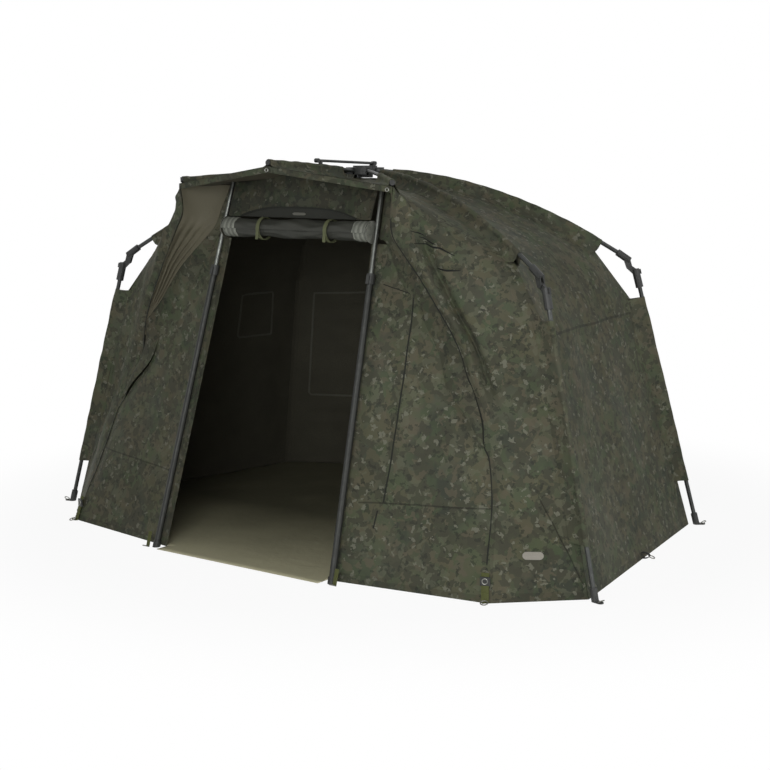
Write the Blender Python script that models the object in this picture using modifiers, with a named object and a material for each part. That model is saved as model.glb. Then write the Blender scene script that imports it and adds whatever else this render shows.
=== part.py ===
"""Bivvy tent with an outside frame of five sprung ribs on folding legs.

The shell hangs under the ribs, three peak arms hold a hood over the door, and
the door is rolled up between two telescopic poles. Lengths are in metres. +Z is
up, the door faces -Y, and the origin is on the ground at the middle of the tent.
"""

import math

import bmesh
import bpy
from mathutils import Matrix, Vector

for leftover in list(bpy.data.objects):
    bpy.data.objects.remove(leftover, do_unlink=True)

# Gaps
GAP = 0.0003  # between pieces that touch
RUNNING_GAP = 0.0005  # between pieces that slide or turn in each other
OVERRUN = 0.004  # how far a cutter runs past a face
WELD = 0.00002  # corners closer than this are one corner

# Frame, as reaches from the hub's upright axis and heights above the ground
HUB_HEIGHT = 1.365
ELBOW_REACH = 1.022
ELBOW_HEIGHT = 1.015
FOOT_REACH = 1.290
FIRST_RIB_ANGLE = math.radians(-18)
RIB_SPACING = math.radians(54)
RIB_PLACES = ("front_right", "rear_right", "rear", "rear_left", "front_left")

# Peak, as distances from the hub's axis and from its height
TIP_HALF_WIDTH = 0.485
TIP_FORWARD = 0.492
TIP_DROP = 0.032
NOSE_FORWARD = 0.563
NOSE_RISE = 0.033
ARM_RISE = 0.005

# Plan and heights of the front
DOOR_FORWARD = 0.735
DOOR_HALF_WIDTH = 0.410
CORNER_HALF_WIDTH = 0.952
CORNER_FORWARD = 0.625
MERGE_HALF_WIDTH = 0.848
MERGE_FORWARD = 0.478
MERGE_HEIGHT = 0.480
EDGE_BAY = 0.045  # how far the shell's edge draws back between tip and merge
SHEET_FORWARD = 0.768

# Tubes
RIB_RADIUS = 0.008
LEG_RADIUS = 0.008
ARM_RADIUS = 0.007
TUBE_SIDES = 10
TUBE_BEVEL_RESOLUTION = 2
RIB_STEPS = 9
ARM_STEPS = 5

# Hub
HUB_RADIUS = 0.072
HUB_HALF_HEIGHT = 0.013
HUB_ROOF = 0.004
HUB_PIN_REACH = 0.050
HUB_PIN_RADIUS = 0.0025
HUB_STEM_RADIUS = 0.030
HUB_STEM_HEIGHT = 0.012
HUB_SIDES = 48
TONGUE_WIDTH = 0.008
EYE_RADIUS = 0.007
EYE_SIDES = 12
CAP_RADIUS = 0.046
CAP_HEIGHT = 0.006

# Lever over the hub that locks the middle peak arm
LEVER_RADIUS = 0.005
LEVER_BACK = 0.055
LEVER_REACH = 0.288
LEVER_LIFT = 0.020
LEVER_EYE_RADIUS = 0.008
LEVER_PIN_RADIUS = 0.003
LEVER_HOOK_INSET = 0.020
LEVER_HOOK_LENGTH = 0.012
EAR_THICKNESS = 0.004

# Knuckles between ribs and legs
PIVOT_INSET = 0.022
KNUCKLE_PIN_RADIUS = 0.003
KNUCKLE_EYE_RADIUS = 0.0105
KNUCKLE_SIDES = 12
BLADE_THICKNESS = 0.010
CHEEK_THICKNESS = 0.004
SOCKET_RADIUS = 0.0135
SOCKET_START = 0.078
SOCKET_END = 0.021
SOCKET_WALL = 0.010
YOKE_RADIUS = 0.0145
YOKE_START = 0.021
YOKE_END = 0.092
YOKE_FLOOR = 0.026
TRIGGER_LENGTH = 0.018
TRIGGER_WIDTH = 0.008
TRIGGER_HEIGHT = 0.012
TRIGGER_PROUD = 0.005
TRIGGER_TRAVEL = 0.003

# Feet
FOOT_RADIUS = 0.0125
FOOT_HEIGHT = 0.045
FOOT_FLOOR = 0.010
TAB_LENGTH = 0.034
TAB_RADIUS = 0.011
TAB_THICKNESS = 0.004
TAB_HOLE_RADIUS = 0.005

# Arm tips
TIP_CAP_RADIUS = 0.0095
TIP_CAP_LENGTH = 0.024
TIP_EYE_RADIUS = 0.004

# Door poles
POLE_UPPER_RADIUS = 0.008
POLE_LOWER_RADIUS = 0.0115
POLE_OVERLAP = 0.30
POLE_SIDES = 12
CLAMP_HEIGHT = 0.985
CLAMP_LENGTH = 0.036
CLAMP_RADIUS = 0.0155
CLAMP_LEVER_LENGTH = 0.030
CLAMP_LEVER_THICKNESS = 0.006
CLAMP_LEVER_SINK = 0.002
POLE_FOOT_RADIUS = 0.0145
POLE_FOOT_HEIGHT = 0.022
POLE_SIDE_CLEARANCE = 0.022
POLE_TOP_DROP = 0.0030
JAMB_WIDTH = 0.030  # cloth beside a door pole, on the door's side
JAMB_BACK = 0.022  # cloth behind a door pole's middle line

# Cloth
CLOTH = 0.003
SKIN_DROP_HUB = 0.0287
SKIN_DROP_EAVE = 0.050
SKIN_DROP_TIP = 0.0135
ROOF_RIM_REACH = 0.022
EAVE_INSET = 0.150  # from the elbow
NOTCH_INSET = 0.012  # from the elbow
NOTCH_DROP = 0.135  # under the elbow
HEM_INSET = 0.032  # from the foot
ROOF_SAG = 0.014
WALL_SAG = 0.022
FOLD_DEPTH = 0.005
SEAM = 0.0002
FRONT_SEAM = 0.002
ROOF_ROWS = 7
GORE_COLUMNS = 6
WALL_ROWS = 10
WALL_COLUMNS = 8
FRONT_ROWS = 14
INFILL_COLUMNS = 4
WING_COLUMNS = 3

# Door header, rolled door and its ties
ROLL_RADIUS = 0.041
ROLL_LAP = 0.003
ROLL_DRAW_SHARE = 0.06
ROLL_DROP = 0.205  # under the hub
ROLL_HALF_LENGTH = 0.330
ROLL_SIDES = 20
ROLL_SECTIONS = 12
TIE_OFFSET = 0.155
TIE_WIDTH = 0.022
TIE_THICKNESS = 0.002
TIE_SIDES = 24
HEADER_ROWS = 3
WING_TOP_REACH = 0.490
WING_DROP = 0.014
INFILL_TOP_DROP = 0.245  # under the hub
INFILL_LIFT = 0.0012  # its hem over the ground

# Groundsheet
SHEET_THICKNESS = 0.004
SHEET_INSET = 0.0018
SHEET_JAMB_GAP = 0.004

# Shares, chosen by hand, of the sizes that they follow
UPPER_EDGE_SHARES = (  # tip to merge: across, bay, down
    (0.0, 0.0, 0.0),
    (-0.028, 0.0, 0.12),
    (0.02, -0.35, 0.195),
    (0.124, -0.2, 0.26),
    (0.278, 0.1, 0.352),
    (0.424, 0.35, 0.451),
    (0.562, 0.6, 0.546),
    (0.697, 0.85, 0.645),
    (0.821, 0.95, 0.726),
    (0.956, 1.0, 0.806),
    (1.005, 0.6, 0.893),
    (1.0, 0.0, 1.0),
)
LOWER_EDGE_SHARES = (  # merge to corner: across, forward, down
    (0.23, 0.07, 0.094),
    (0.52, 0.27, 0.335),
    (0.67, 0.48, 0.51),
    (0.80, 0.75, 0.72),
    (1.0, 1.0, 1.0),
)
ZIP_EDGE_SHARES = (  # pole to merge: across, forward, down
    (0.0, 0.0, 0.0),
    (0.158, 0.25, 0.1875),
    (0.303, 0.36, 0.281),
    (0.441, 0.50, 0.422),
    (0.644, 0.62, 0.602),
    (0.773, 0.73, 0.723),
    (0.915, 0.84, 0.866),
    (0.975, 0.96, 0.965),
)
MIDDLE_SHARE = 0.5
ROW_SHARE = 0.4  # least distance of a row from the merge, in rows
TONGUE_EYE_SHARE = 0.9  # the flat tongue's half height at its eye
TONGUE_TUBE_SHARE = 0.8  # and where it meets its tube
CHEEK_SHARE = 0.85  # a knuckle plate's half height on its barrel
GROOVE_SHARE = 0.5  # a groove's width to its depth

# Sizes that follow from these
HUB_Y = (SHEET_FORWARD - FOOT_REACH - TAB_LENGTH) / 2
TIP_HEIGHT = HUB_HEIGHT - TIP_DROP
NOSE_HEIGHT = HUB_HEIGHT + NOSE_RISE
EAVE_REACH = ELBOW_REACH - EAVE_INSET
NOTCH_REACH = ELBOW_REACH - NOTCH_INSET
NOTCH_HEIGHT = ELBOW_HEIGHT - NOTCH_DROP
HEM_REACH = FOOT_REACH - HEM_INSET
ROLL_HEIGHT = HUB_HEIGHT - ROLL_DROP
INFILL_TOP_HEIGHT = HUB_HEIGHT - INFILL_TOP_DROP

parts = bpy.data.collections.new("bivvy_tent")
cutters = bpy.data.collections.new("cutters")
bpy.context.scene.collection.children.link(parts)
bpy.context.scene.collection.children.link(cutters)


def material(name, colour, roughness, metallic=0.0):
    """A Principled material in one colour."""
    made = bpy.data.materials.new(name)
    made.use_nodes = True
    shader = made.node_tree.nodes["Principled BSDF"]
    shader.inputs["Base Color"].default_value = (*colour, 1.0)
    shader.inputs["Roughness"].default_value = roughness
    shader.inputs["Metallic"].default_value = metallic
    made.diffuse_color = (*colour, 1.0)
    return made


GUNMETAL = material("gunmetal_tube", (0.10, 0.105, 0.11), 0.45, 0.7)
POLE_GREY = material("pole_grey", (0.16, 0.165, 0.17), 0.4, 0.6)
BLACK_PLASTIC = material("black_plastic", (0.03, 0.032, 0.034), 0.55)
CAMO_CLOTH = material("camo_cloth", (0.075, 0.085, 0.05), 0.85)
DARK_CLOTH = material("dark_cloth", (0.03, 0.034, 0.03), 0.85)
OLIVE_WEBBING = material("olive_webbing", (0.14, 0.16, 0.05), 0.8)
KHAKI_SHEET = material("khaki_sheet", (0.19, 0.19, 0.12), 0.75)


def add_object(name, data, parent=None, place=None):
    """Puts data into the tent as one piece."""
    made = bpy.data.objects.new(name, data)
    parts.objects.link(made)
    made.parent = parent
    if place is not None:
        made.matrix_local = place
    return made


def empty(name, place, parent=None):
    """A frame of reference for the pieces under it."""
    made = bpy.data.objects.new(name, None)
    parts.objects.link(made)
    made.parent = parent
    made.matrix_local = place
    return made


def new_mesh(name, bm):
    """Closes a bmesh's work and gives its mesh."""
    bmesh.ops.recalc_face_normals(bm, faces=bm.faces)
    mesh = bpy.data.meshes.new(name)
    bm.to_mesh(mesh)
    bm.free()
    return mesh


def rod_mesh(start, end, radius, sides, end_radius=None):
    """A closed cylinder, or a cone, between two points."""
    start = Vector(start)
    axis = Vector(end) - start
    turn = axis.to_track_quat("Z", "Y").to_matrix().to_4x4()
    bm = bmesh.new()
    bmesh.ops.create_cone(
        bm,
        cap_ends=True,
        segments=sides,
        radius1=radius,
        radius2=radius if end_radius is None else end_radius,
        depth=axis.length,
        matrix=Matrix.Translation(start + axis / 2) @ turn,
    )
    return new_mesh("rod", bm)


def box_mesh(size, centre, turn=None):
    """A closed box."""
    bm = bmesh.new()
    matrix = Matrix.Translation(centre)
    if turn is not None:
        matrix = matrix @ turn
    bmesh.ops.create_cube(bm, size=1.0, matrix=matrix @ Matrix.Diagonal((*size, 1.0)))
    return new_mesh("box", bm)


def hull_outline(circles, sides):
    """The outline round a few circles, as points in order, anticlockwise."""
    spots = []
    for centre, radius in circles:
        for step in range(sides):
            angle = math.tau * (step + MIDDLE_SHARE) / sides
            spots.append((centre[0] + radius * math.cos(angle), centre[1] + radius * math.sin(angle)))
    spots.sort()

    def half(run):
        chain = []
        for spot in run:
            while len(chain) > 1:
                (ax, ay), (bx, by) = chain[-2], chain[-1]
                if (bx - ax) * (spot[1] - ay) - (by - ay) * (spot[0] - ax) > 0:
                    break
                chain.pop()
            chain.append(spot)
        return chain[:-1]

    return half(spots) + half(spots[::-1])


def plate_mesh(outline, low, high, flat=False):
    """A plate over an outline in the rib's plane, from low to high across it.

    With flat, the outline lies level and low and high are heights.
    """
    bm = bmesh.new()
    if flat:
        corners = [bm.verts.new((x, y, low)) for x, y in outline]
        move = Vector((0, 0, high - low))
    else:
        corners = [bm.verts.new((x, low, z)) for x, z in outline]
        move = Vector((0, high - low, 0))
    face = bm.faces.new(corners)
    grown = bmesh.ops.extrude_face_region(bm, geom=[face])
    moved = [item for item in grown["geom"] if isinstance(item, bmesh.types.BMVert)]
    bmesh.ops.translate(bm, verts=moved, vec=move)
    return new_mesh("plate", bm)


def carve(base, joined=(), removed=()):
    """One mesh from a base mesh, with others joined to it and cut from it."""
    work = bpy.data.objects.new("work", base)
    cutters.objects.link(work)
    helpers = []
    for operation, meshes in (("UNION", joined), ("DIFFERENCE", removed)):
        for mesh in meshes:
            helper = bpy.data.objects.new("helper", mesh)
            helper.hide_render = True
            helper.display_type = "WIRE"
            cutters.objects.link(helper)
            helpers.append(helper)
            modifier = work.modifiers.new(operation.lower(), "BOOLEAN")
            modifier.operation = operation
            modifier.solver = "EXACT"
            modifier.object = helper
    graph = bpy.context.evaluated_depsgraph_get()
    result = bpy.data.meshes.new_from_object(work.evaluated_get(graph))
    for helper in helpers + [work]:
        bpy.data.objects.remove(helper)
    bm = bmesh.new()
    bm.from_mesh(result)
    bmesh.ops.remove_doubles(bm, verts=bm.verts, dist=WELD)
    pinholes = [edge for edge in bm.edges if edge.is_boundary]
    bmesh.ops.holes_fill(bm, edges=pinholes, sides=4)
    return new_mesh("carved", bm)


def tube_mesh(points, radius):
    """A tube with closed ends along a line of points."""
    curve = bpy.data.curves.new("tube", "CURVE")
    curve.dimensions = "3D"
    curve.bevel_depth = radius
    curve.bevel_resolution = TUBE_BEVEL_RESOLUTION
    curve.use_fill_caps = True
    spline = curve.splines.new("POLY")
    spline.points.add(len(points) - 1)
    for spot, point in zip(spline.points, points):
        spot.co = (*point, 1.0)
    source = bpy.data.objects.new("tube", curve)
    cutters.objects.link(source)
    graph = bpy.context.evaluated_depsgraph_get()
    mesh = bpy.data.meshes.new_from_object(source.evaluated_get(graph))
    bpy.data.objects.remove(source)
    bm = bmesh.new()
    bm.from_mesh(mesh)
    bmesh.ops.remove_doubles(bm, verts=bm.verts, dist=WELD)
    return new_mesh("tube", bm)


def finish_mesh(mesh, surface, smooth=True):
    """Gives a finished mesh its material and its shading."""
    mesh.materials.clear()
    mesh.materials.append(surface)
    if smooth:
        mesh.shade_smooth()
        mesh.set_sharp_from_angle(angle=math.radians(35))
    return mesh


def sheet_mesh(rows, outside, surface):
    """Cloth over a grid of points, with its thickness on the side of a point."""
    bm = bmesh.new()
    grid = [[bm.verts.new(point) for point in row] for row in rows]
    for upper, lower in zip(grid, grid[1:]):
        for k in range(len(upper) - 1):
            bm.faces.new((upper[k], upper[k + 1], lower[k + 1], lower[k]))
    return cloth_of(bm, outside, surface)


def cloth_of(bm, outside, surface):
    """Turns an open bmesh's faces to a point outside it and gives its mesh."""
    bm.normal_update()
    facing = 0.0
    for face in bm.faces:
        way = (Vector(outside) - face.calc_center_median()).normalized()
        facing += way.dot(face.normal) * face.calc_area()
    if facing < 0:
        bmesh.ops.reverse_faces(bm, faces=bm.faces)
    mesh = bpy.data.meshes.new("cloth")
    bm.to_mesh(mesh)
    bm.free()
    mesh.materials.append(surface)
    mesh.shade_smooth()
    return mesh


def thicken(piece, offset=1):
    """Gives an open sheet its thickness, outwards or, with an offset of -1, inwards."""
    solidify = piece.modifiers.new("thickness", "SOLIDIFY")
    solidify.thickness = CLOTH
    solidify.offset = offset
    solidify.use_even_offset = True
    solidify.use_quality_normals = True
    return piece


def mix(a, b, share):
    """The point at a share of the way from a to b."""
    return Vector(a).lerp(Vector(b), share)


def along(points, share):
    """The point at a share of a broken line's length."""
    lengths = [(b - a).length for a, b in zip(points, points[1:])]
    left = share * sum(lengths)
    for a, b, length in zip(points, points[1:], lengths):
        if left <= length:
            return a.lerp(b, left / length)
        left -= length
    return points[-1].copy()


def share_of(points, index):
    """The share of a broken line's length at which one of its points lies."""
    lengths = [(b - a).length for a, b in zip(points, points[1:])]
    return sum(lengths[:index]) / sum(lengths)


def mirrored(points):
    """Points swapped from one side of the tent to the other."""
    return [Vector((-p.x, p.y, p.z)) for p in points]


def steps(count):
    """Even shares from 0 to 1."""
    return [k / count for k in range(count + 1)]


def plan(angle, reach, height):
    """A point by its angle round the hub, its reach and its height."""
    return Vector((reach * math.cos(angle), HUB_Y + reach * math.sin(angle), height))


def ahead(across, forward, height):
    """A point by its distance from the middle and in front of the hub."""
    return Vector((across, HUB_Y - forward, height))


# Frame lines

TIP_REACH = math.hypot(TIP_HALF_WIDTH, TIP_FORWARD)
TIP_ANGLE = math.atan2(-TIP_FORWARD, TIP_HALF_WIDTH)
ARMS = {
    "right": (TIP_ANGLE, TIP_REACH, TIP_HEIGHT),
    "middle": (-math.pi / 2, NOSE_FORWARD, NOSE_HEIGHT),
    "left": (math.pi - TIP_ANGLE, TIP_REACH, TIP_HEIGHT),
}
RIB_ANGLES = {
    place: FIRST_RIB_ANGLE + RIB_SPACING * k for k, place in enumerate(RIB_PLACES)
}
RIB_FALL = HUB_HEIGHT - ELBOW_HEIGHT
RIB_SLOPE = math.atan2(-2 * RIB_FALL, ELBOW_REACH)
ELBOW = Vector((ELBOW_REACH, 0, ELBOW_HEIGHT))
RIB_WAY = Vector((math.cos(RIB_SLOPE), 0, math.sin(RIB_SLOPE)))
LEG_WAY = (Vector((FOOT_REACH, 0, 0)) - ELBOW).normalized()
INWARD = (LEG_WAY - RIB_WAY).normalized()
PIVOT = ELBOW + PIVOT_INSET * INWARD
LEG_OUT = Vector((-LEG_WAY.z, 0, LEG_WAY.x))
LEG_LENGTH = (Vector((FOOT_REACH, 0, 0)) - ELBOW).length


def rib_height(reach):
    """Height of a rib's middle line over a reach from the hub's axis."""
    return HUB_HEIGHT - RIB_FALL * (reach / ELBOW_REACH) ** 2


def rib_point(reach):
    """A point on the rib's middle line, in the rib's own plane."""
    return Vector((reach, 0, rib_height(reach)))


def arm_height(arm, reach):
    """Height of a peak arm's middle line over a reach from the hub's axis."""
    _, end_reach, end_height = ARMS[arm]
    share = max(0, (reach - HUB_RADIUS) / (end_reach - HUB_RADIUS))
    return HUB_HEIGHT + (end_height - HUB_HEIGHT) * share + 4 * ARM_RISE * share * (1 - share)


def rib_skin(reach):
    """Height of the cloth under a rib."""
    share = reach / EAVE_REACH
    return rib_height(reach) - SKIN_DROP_HUB - (SKIN_DROP_EAVE - SKIN_DROP_HUB) * share**3


def arm_skin(arm, reach):
    """Height of the cloth under a peak arm."""
    share = reach / ARMS[arm][1]
    return arm_height(arm, reach) - SKIN_DROP_HUB - (SKIN_DROP_TIP - SKIN_DROP_HUB) * share**2


def rib_row(place, share):
    """Point of the roof's edge line under a rib, at a share from rim to eave."""
    reach = ROOF_RIM_REACH + (EAVE_REACH - ROOF_RIM_REACH) * share
    return plan(RIB_ANGLES[place], reach, rib_skin(reach))


def arm_row(arm, share):
    """Point of the roof's edge line under a peak arm, at a share from rim to tip."""
    reach = ROOF_RIM_REACH + (ARMS[arm][1] - ROOF_RIM_REACH) * share
    return plan(ARMS[arm][0], reach, arm_skin(arm, reach))


# Lines that cloth pieces share

def pole_line(side, height):
    """A point on a door pole's middle line."""
    top = plan(ARMS["right"][0], WING_TOP_REACH, 0)
    share = height / arm_height("right", WING_TOP_REACH)
    foot = ahead(DOOR_HALF_WIDTH, DOOR_FORWARD, 0)
    point = mix(foot, top, share)
    return Vector((side * point.x, point.y, height))


def shell_edge():
    """The shell's front edge on the right, from peak tip to ground corner."""
    tip = arm_row("right", 1.0)
    merge = ahead(MERGE_HALF_WIDTH, MERGE_FORWARD, MERGE_HEIGHT)
    line = []
    for across, bay, down in UPPER_EDGE_SHARES:
        line.append(
            Vector((
                tip.x + across * (merge.x - tip.x),
                tip.y + down * (merge.y - tip.y) + bay * EDGE_BAY,
                tip.z + down * (merge.z - tip.z),
            ))
        )
    for across, forward, down in LOWER_EDGE_SHARES:
        line.append(
            ahead(
                MERGE_HALF_WIDTH + across * (CORNER_HALF_WIDTH - MERGE_HALF_WIDTH),
                MERGE_FORWARD + forward * (CORNER_FORWARD - MERGE_FORWARD),
                MERGE_HEIGHT * (1 - down),
            )
        )
    return line


SHELL_EDGE = shell_edge()
MERGE_INDEX = len(UPPER_EDGE_SHARES) - 1
MERGE_SHARE = share_of(SHELL_EDGE, MERGE_INDEX)
MERGE = SHELL_EDGE[MERGE_INDEX]
JAMB = Vector((-JAMB_WIDTH, JAMB_BACK, 0))
INFILL_TOP = pole_line(1, INFILL_TOP_HEIGHT) + JAMB


def zip_edge():
    """The line where infill and shell zip together, from the pole to near the merge."""
    start = pole_line(1, INFILL_TOP_HEIGHT) + Vector((2 * POLE_SIDE_CLEARANCE, JAMB_BACK, 0))
    line = []
    for across, forward, down in ZIP_EDGE_SHARES:
        line.append(
            Vector((
                start.x + across * (MERGE.x - start.x),
                start.y + forward * (MERGE.y - start.y),
                start.z + down * (MERGE.z - start.z),
            ))
        )
    return line


def leg_skin(place):
    """The wall's edge line behind a leg, from eave to ground."""
    angle = RIB_ANGLES[place]
    return [
        plan(angle, EAVE_REACH, rib_skin(EAVE_REACH)),
        plan(angle, NOTCH_REACH, NOTCH_HEIGHT),
        plan(angle, HEM_REACH, 0),
    ]


ZIP_EDGE = zip_edge()


def gore(first, second, rows, columns, sag, inset=SEAM):
    """Rows of points for cloth between two edge lines, each a function of a share.

    The cloth runs straight across and hangs in by sag, most in its middle.
    """
    grid = []
    for down in rows:
        a, b = first(down), second(down)
        edge = inset / (b - a).length
        row = []
        for k in steps(columns):
            across = edge + (1 - 2 * edge) * k
            row.append(mix(a, b, across) + 4 * across * (1 - across) * sag(down, across))
        grid.append(row)
    return grid


def roof_sag(down, _across):
    """The roof's hollow between ribs, deepest halfway down."""
    return Vector((0, 0, -ROOF_SAG * math.sin(math.pi * down)))


def seamed(count, inset_share):
    """Even shares from 0 to 1, with the first and last drawn in for a seam."""
    return [min(max(share, inset_share), 1 - inset_share) for share in steps(count)]


# Roof: four gores between the ribs and one each side of the peak

EAVE_SEAM_SHARE = SEAM / EAVE_REACH
ROOF_SHARES = seamed(ROOF_ROWS, EAVE_SEAM_SHARE)


def roof_rows():
    """The roof's grid from the right peak arm round the back to the left one."""
    lines = [lambda share: arm_row("right", share)]
    for place in RIB_PLACES:
        lines.append(lambda share, place=place: rib_row(place, share))
    lines.append(lambda share: arm_row("left", share))
    grid = [[] for _ in ROOF_SHARES]
    for first, second in zip(lines, lines[1:]):
        inset = SEAM if first is lines[0] or second is lines[-1] else 0
        for row, piece in zip(grid, gore(first, second, ROOF_SHARES, GORE_COLUMNS, roof_sag, inset)):
            row.extend(piece if not row else piece[1:])
    return grid


HIGH_ABOVE = Vector((0, HUB_Y, 10 * HUB_HEIGHT))
thicken(add_object("roof_canopy", sheet_mesh(roof_rows(), HIGH_ABOVE, CAMO_CLOTH)))


def hood_rows(shares):
    """The hood's grid from the right peak arm over the middle one to the left."""
    lines = [lambda share, arm=arm: arm_row(arm, share) for arm in ARMS]
    grid = [[] for _ in shares]
    for first, second in zip(lines, lines[1:]):
        for row, piece in zip(grid, gore(first, second, shares, GORE_COLUMNS, roof_sag, 0)):
            row.extend(piece if not row else piece[1:])
    for row in grid:
        width = (row[1] - row[0]).length
        row[0] = mix(row[0], row[1], SEAM / width)
        row[-1] = mix(row[-1], row[-2], SEAM / width)
    return grid


thicken(add_object("peak_hood", sheet_mesh(hood_rows(steps(ROOF_ROWS)), HIGH_ABOVE, CAMO_CLOTH)))


# Walls between the legs

def wall_sag(first, second):
    """The hollow and the soft upright folds of a wall between two places."""
    middle = mix(leg_skin(first)[-1], leg_skin(second)[-1], MIDDLE_SHARE)
    inward = (Vector((0, HUB_Y, 0)) - middle).normalized()

    def sag(down, across):
        hollow = WALL_SAG * math.sin(math.pi * down)
        fold = FOLD_DEPTH * math.sin(math.pi * down) * math.sin(3 * math.tau * across)
        return (hollow + fold) * inward

    return sag


WALL_SEAM_SHARE = SEAM / NOTCH_HEIGHT
WALL_SHARES = [max(share, WALL_SEAM_SHARE) for share in steps(WALL_ROWS)]
WALLS = {
    "wall_right": ("front_right", "rear_right"),
    "wall_rear_right": ("rear_right", "rear"),
    "wall_rear_left": ("rear", "rear_left"),
    "wall_left": ("rear_left", "front_left"),
}


def outside_of(place, other):
    """A point far outside the wall between two ribs."""
    middle = (RIB_ANGLES[place] + RIB_ANGLES[other]) / 2
    return plan(middle, 10 * FOOT_REACH, HUB_HEIGHT)


for name, (first, second) in WALLS.items():
    rows = gore(
        lambda share, place=first: along(leg_skin(place), share),
        lambda share, place=second: along(leg_skin(place), share),
        WALL_SHARES,
        WALL_COLUMNS,
        wall_sag(first, second),
    )
    thicken(add_object(name, sheet_mesh(rows, outside_of(first, second), CAMO_CLOTH)))


# Shell panels each side of the door, with the wings that turn in to the zips

def front_sag(down, across):
    """The hollow and the soft folds of a front panel."""
    hollow = WALL_SAG * MIDDLE_SHARE * math.sin(math.pi * down)
    fold = FOLD_DEPTH * math.sin(math.pi * down) * math.sin(2 * math.tau * across)
    return Vector((0, hollow + fold, 0))


LEAST_STEP = ROW_SHARE / FRONT_ROWS
FRONT_SHARES = [share for share in steps(FRONT_ROWS) if abs(share - MERGE_SHARE) > LEAST_STEP]
FRONT_SHARES = sorted(FRONT_SHARES + [MERGE_SHARE])
WING_ROWS = FRONT_SHARES.index(MERGE_SHARE)
FRONT_SHARES[0] = FRONT_SEAM / TIP_HEIGHT
ZIP_POINTS = [along(ZIP_EDGE, share) for share in steps(WING_ROWS - 2)]


def front_panel():
    """The right front panel's bmesh: a main sheet with its wing up to the merge."""
    leg_line = leg_skin("front_right")
    main = gore(
        lambda share: along(SHELL_EDGE, share),
        lambda share: along(leg_line, share),
        FRONT_SHARES,
        WALL_COLUMNS,
        front_sag,
        0,
    )
    bm = bmesh.new()
    for row in main:
        width = (row[-1] - row[-2]).length
        row[-1] = mix(row[-1], row[-2], SEAM / width)
    grid = [[bm.verts.new(point) for point in row] for row in main]
    for upper, lower in zip(grid, grid[1:]):
        for k in range(WALL_COLUMNS):
            bm.faces.new((upper[k], upper[k + 1], lower[k + 1], lower[k]))
    wing_top = plan(ARMS["right"][0], WING_TOP_REACH, arm_skin("right", WING_TOP_REACH))
    wing_top += Vector((POLE_SIDE_CLEARANCE, 0, -WING_DROP))
    wing = []
    for row, end in zip(grid, [wing_top] + ZIP_POINTS):
        made = [row[0]]
        for k in steps(WING_COLUMNS)[1:]:
            made.append(bm.verts.new(mix(row[0].co, end, k)))
        wing.append(made)
    for upper, lower in zip(wing, wing[1:]):
        for k in range(WING_COLUMNS):
            bm.faces.new((upper[k + 1], upper[k], lower[k], lower[k + 1]))
    return bm


FRONT_OUTSIDE = ahead(3 * CORNER_HALF_WIDTH, 10 * DOOR_FORWARD, HUB_HEIGHT)
thicken(add_object("front_panel_right", cloth_of(front_panel(), FRONT_OUTSIDE, CAMO_CLOTH)))


def mirror_mesh(mesh):
    """The same mesh for the other side of the tent."""
    bm = bmesh.new()
    bm.from_mesh(mesh)
    bmesh.ops.transform(bm, matrix=Matrix.Scale(-1, 4, Vector((1, 0, 0))), verts=bm.verts)
    bmesh.ops.reverse_faces(bm, faces=bm.faces)
    swapped = mesh.copy()
    bm.to_mesh(swapped)
    bm.free()
    return swapped


thicken(add_object("front_panel_left", mirror_mesh(parts.objects["front_panel_right"].data)))


# Infill: a panel each side of the door, and the header over it

def infill_rows():
    """The right infill panel's grid, from the door pole to the zip and the shell."""
    inner = [INFILL_TOP, pole_line(1, 0) + JAMB]
    outer = ZIP_POINTS + [along(SHELL_EDGE, share) for share in FRONT_SHARES[WING_ROWS:]]
    rows = []
    for index, edge_point in enumerate(outer):
        a = along(inner, share_of(outer, index))
        edge = GAP / (edge_point - a).length
        rows.append([mix(a, edge_point, k * (1 - edge)) for k in steps(INFILL_COLUMNS)])
    rows[-1] = [point + Vector((0, 0, INFILL_LIFT)) for point in rows[-1]]
    return rows


thicken(add_object("infill_panel_right", sheet_mesh(infill_rows(), FRONT_OUTSIDE, CAMO_CLOTH)), -1)
thicken(add_object("infill_panel_left", mirror_mesh(parts.objects["infill_panel_right"].data)), -1)

HEADER_SHARE = round(ROOF_ROWS * WING_TOP_REACH / TIP_REACH) / ROOF_ROWS
ROLL_Y = pole_line(1, ROLL_HEIGHT).y
TIE_INSIDE = ROLL_RADIUS * (1 - ROLL_DRAW_SHARE) + 2 * GAP
HEADER_HEIGHT = ROLL_HEIGHT + TIE_INSIDE + TIE_THICKNESS + GAP


def header_rows():
    """The header's grid, from under the hood down to the ties."""
    top = hood_rows([HEADER_SHARE])[0]
    half = min(abs(pole_line(1, HEADER_HEIGHT).x), top[0].x) - POLE_SIDE_CLEARANCE
    rows = []
    for down in steps(HEADER_ROWS):
        row = []
        for point in top:
            across = max(-half, min(half, point.x))
            bottom = Vector((across, ROLL_Y, HEADER_HEIGHT))
            hood = Vector((across, point.y, point.z))
            lean = (hood.y - bottom.y) / (hood - bottom).length
            hood.z -= GAP + CLOTH * lean
            row.append(mix(hood, bottom, down))
        rows.append(row)
    return rows


DOOR_OUTSIDE = ahead(0, 10 * DOOR_FORWARD, HUB_HEIGHT)
thicken(add_object("door_header", sheet_mesh(header_rows(), DOOR_OUTSIDE, CAMO_CLOTH)))


def roll_outline(scale):
    """The rolled door's section: a spiral's outer turn with its lap."""
    points = []
    for k in range(ROLL_SIDES):
        turn = k / ROLL_SIDES
        radius = (ROLL_RADIUS - ROLL_LAP * turn) * scale
        angle = math.tau * turn
        points.append((radius * math.cos(angle), radius * math.sin(angle)))
    return points


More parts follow.
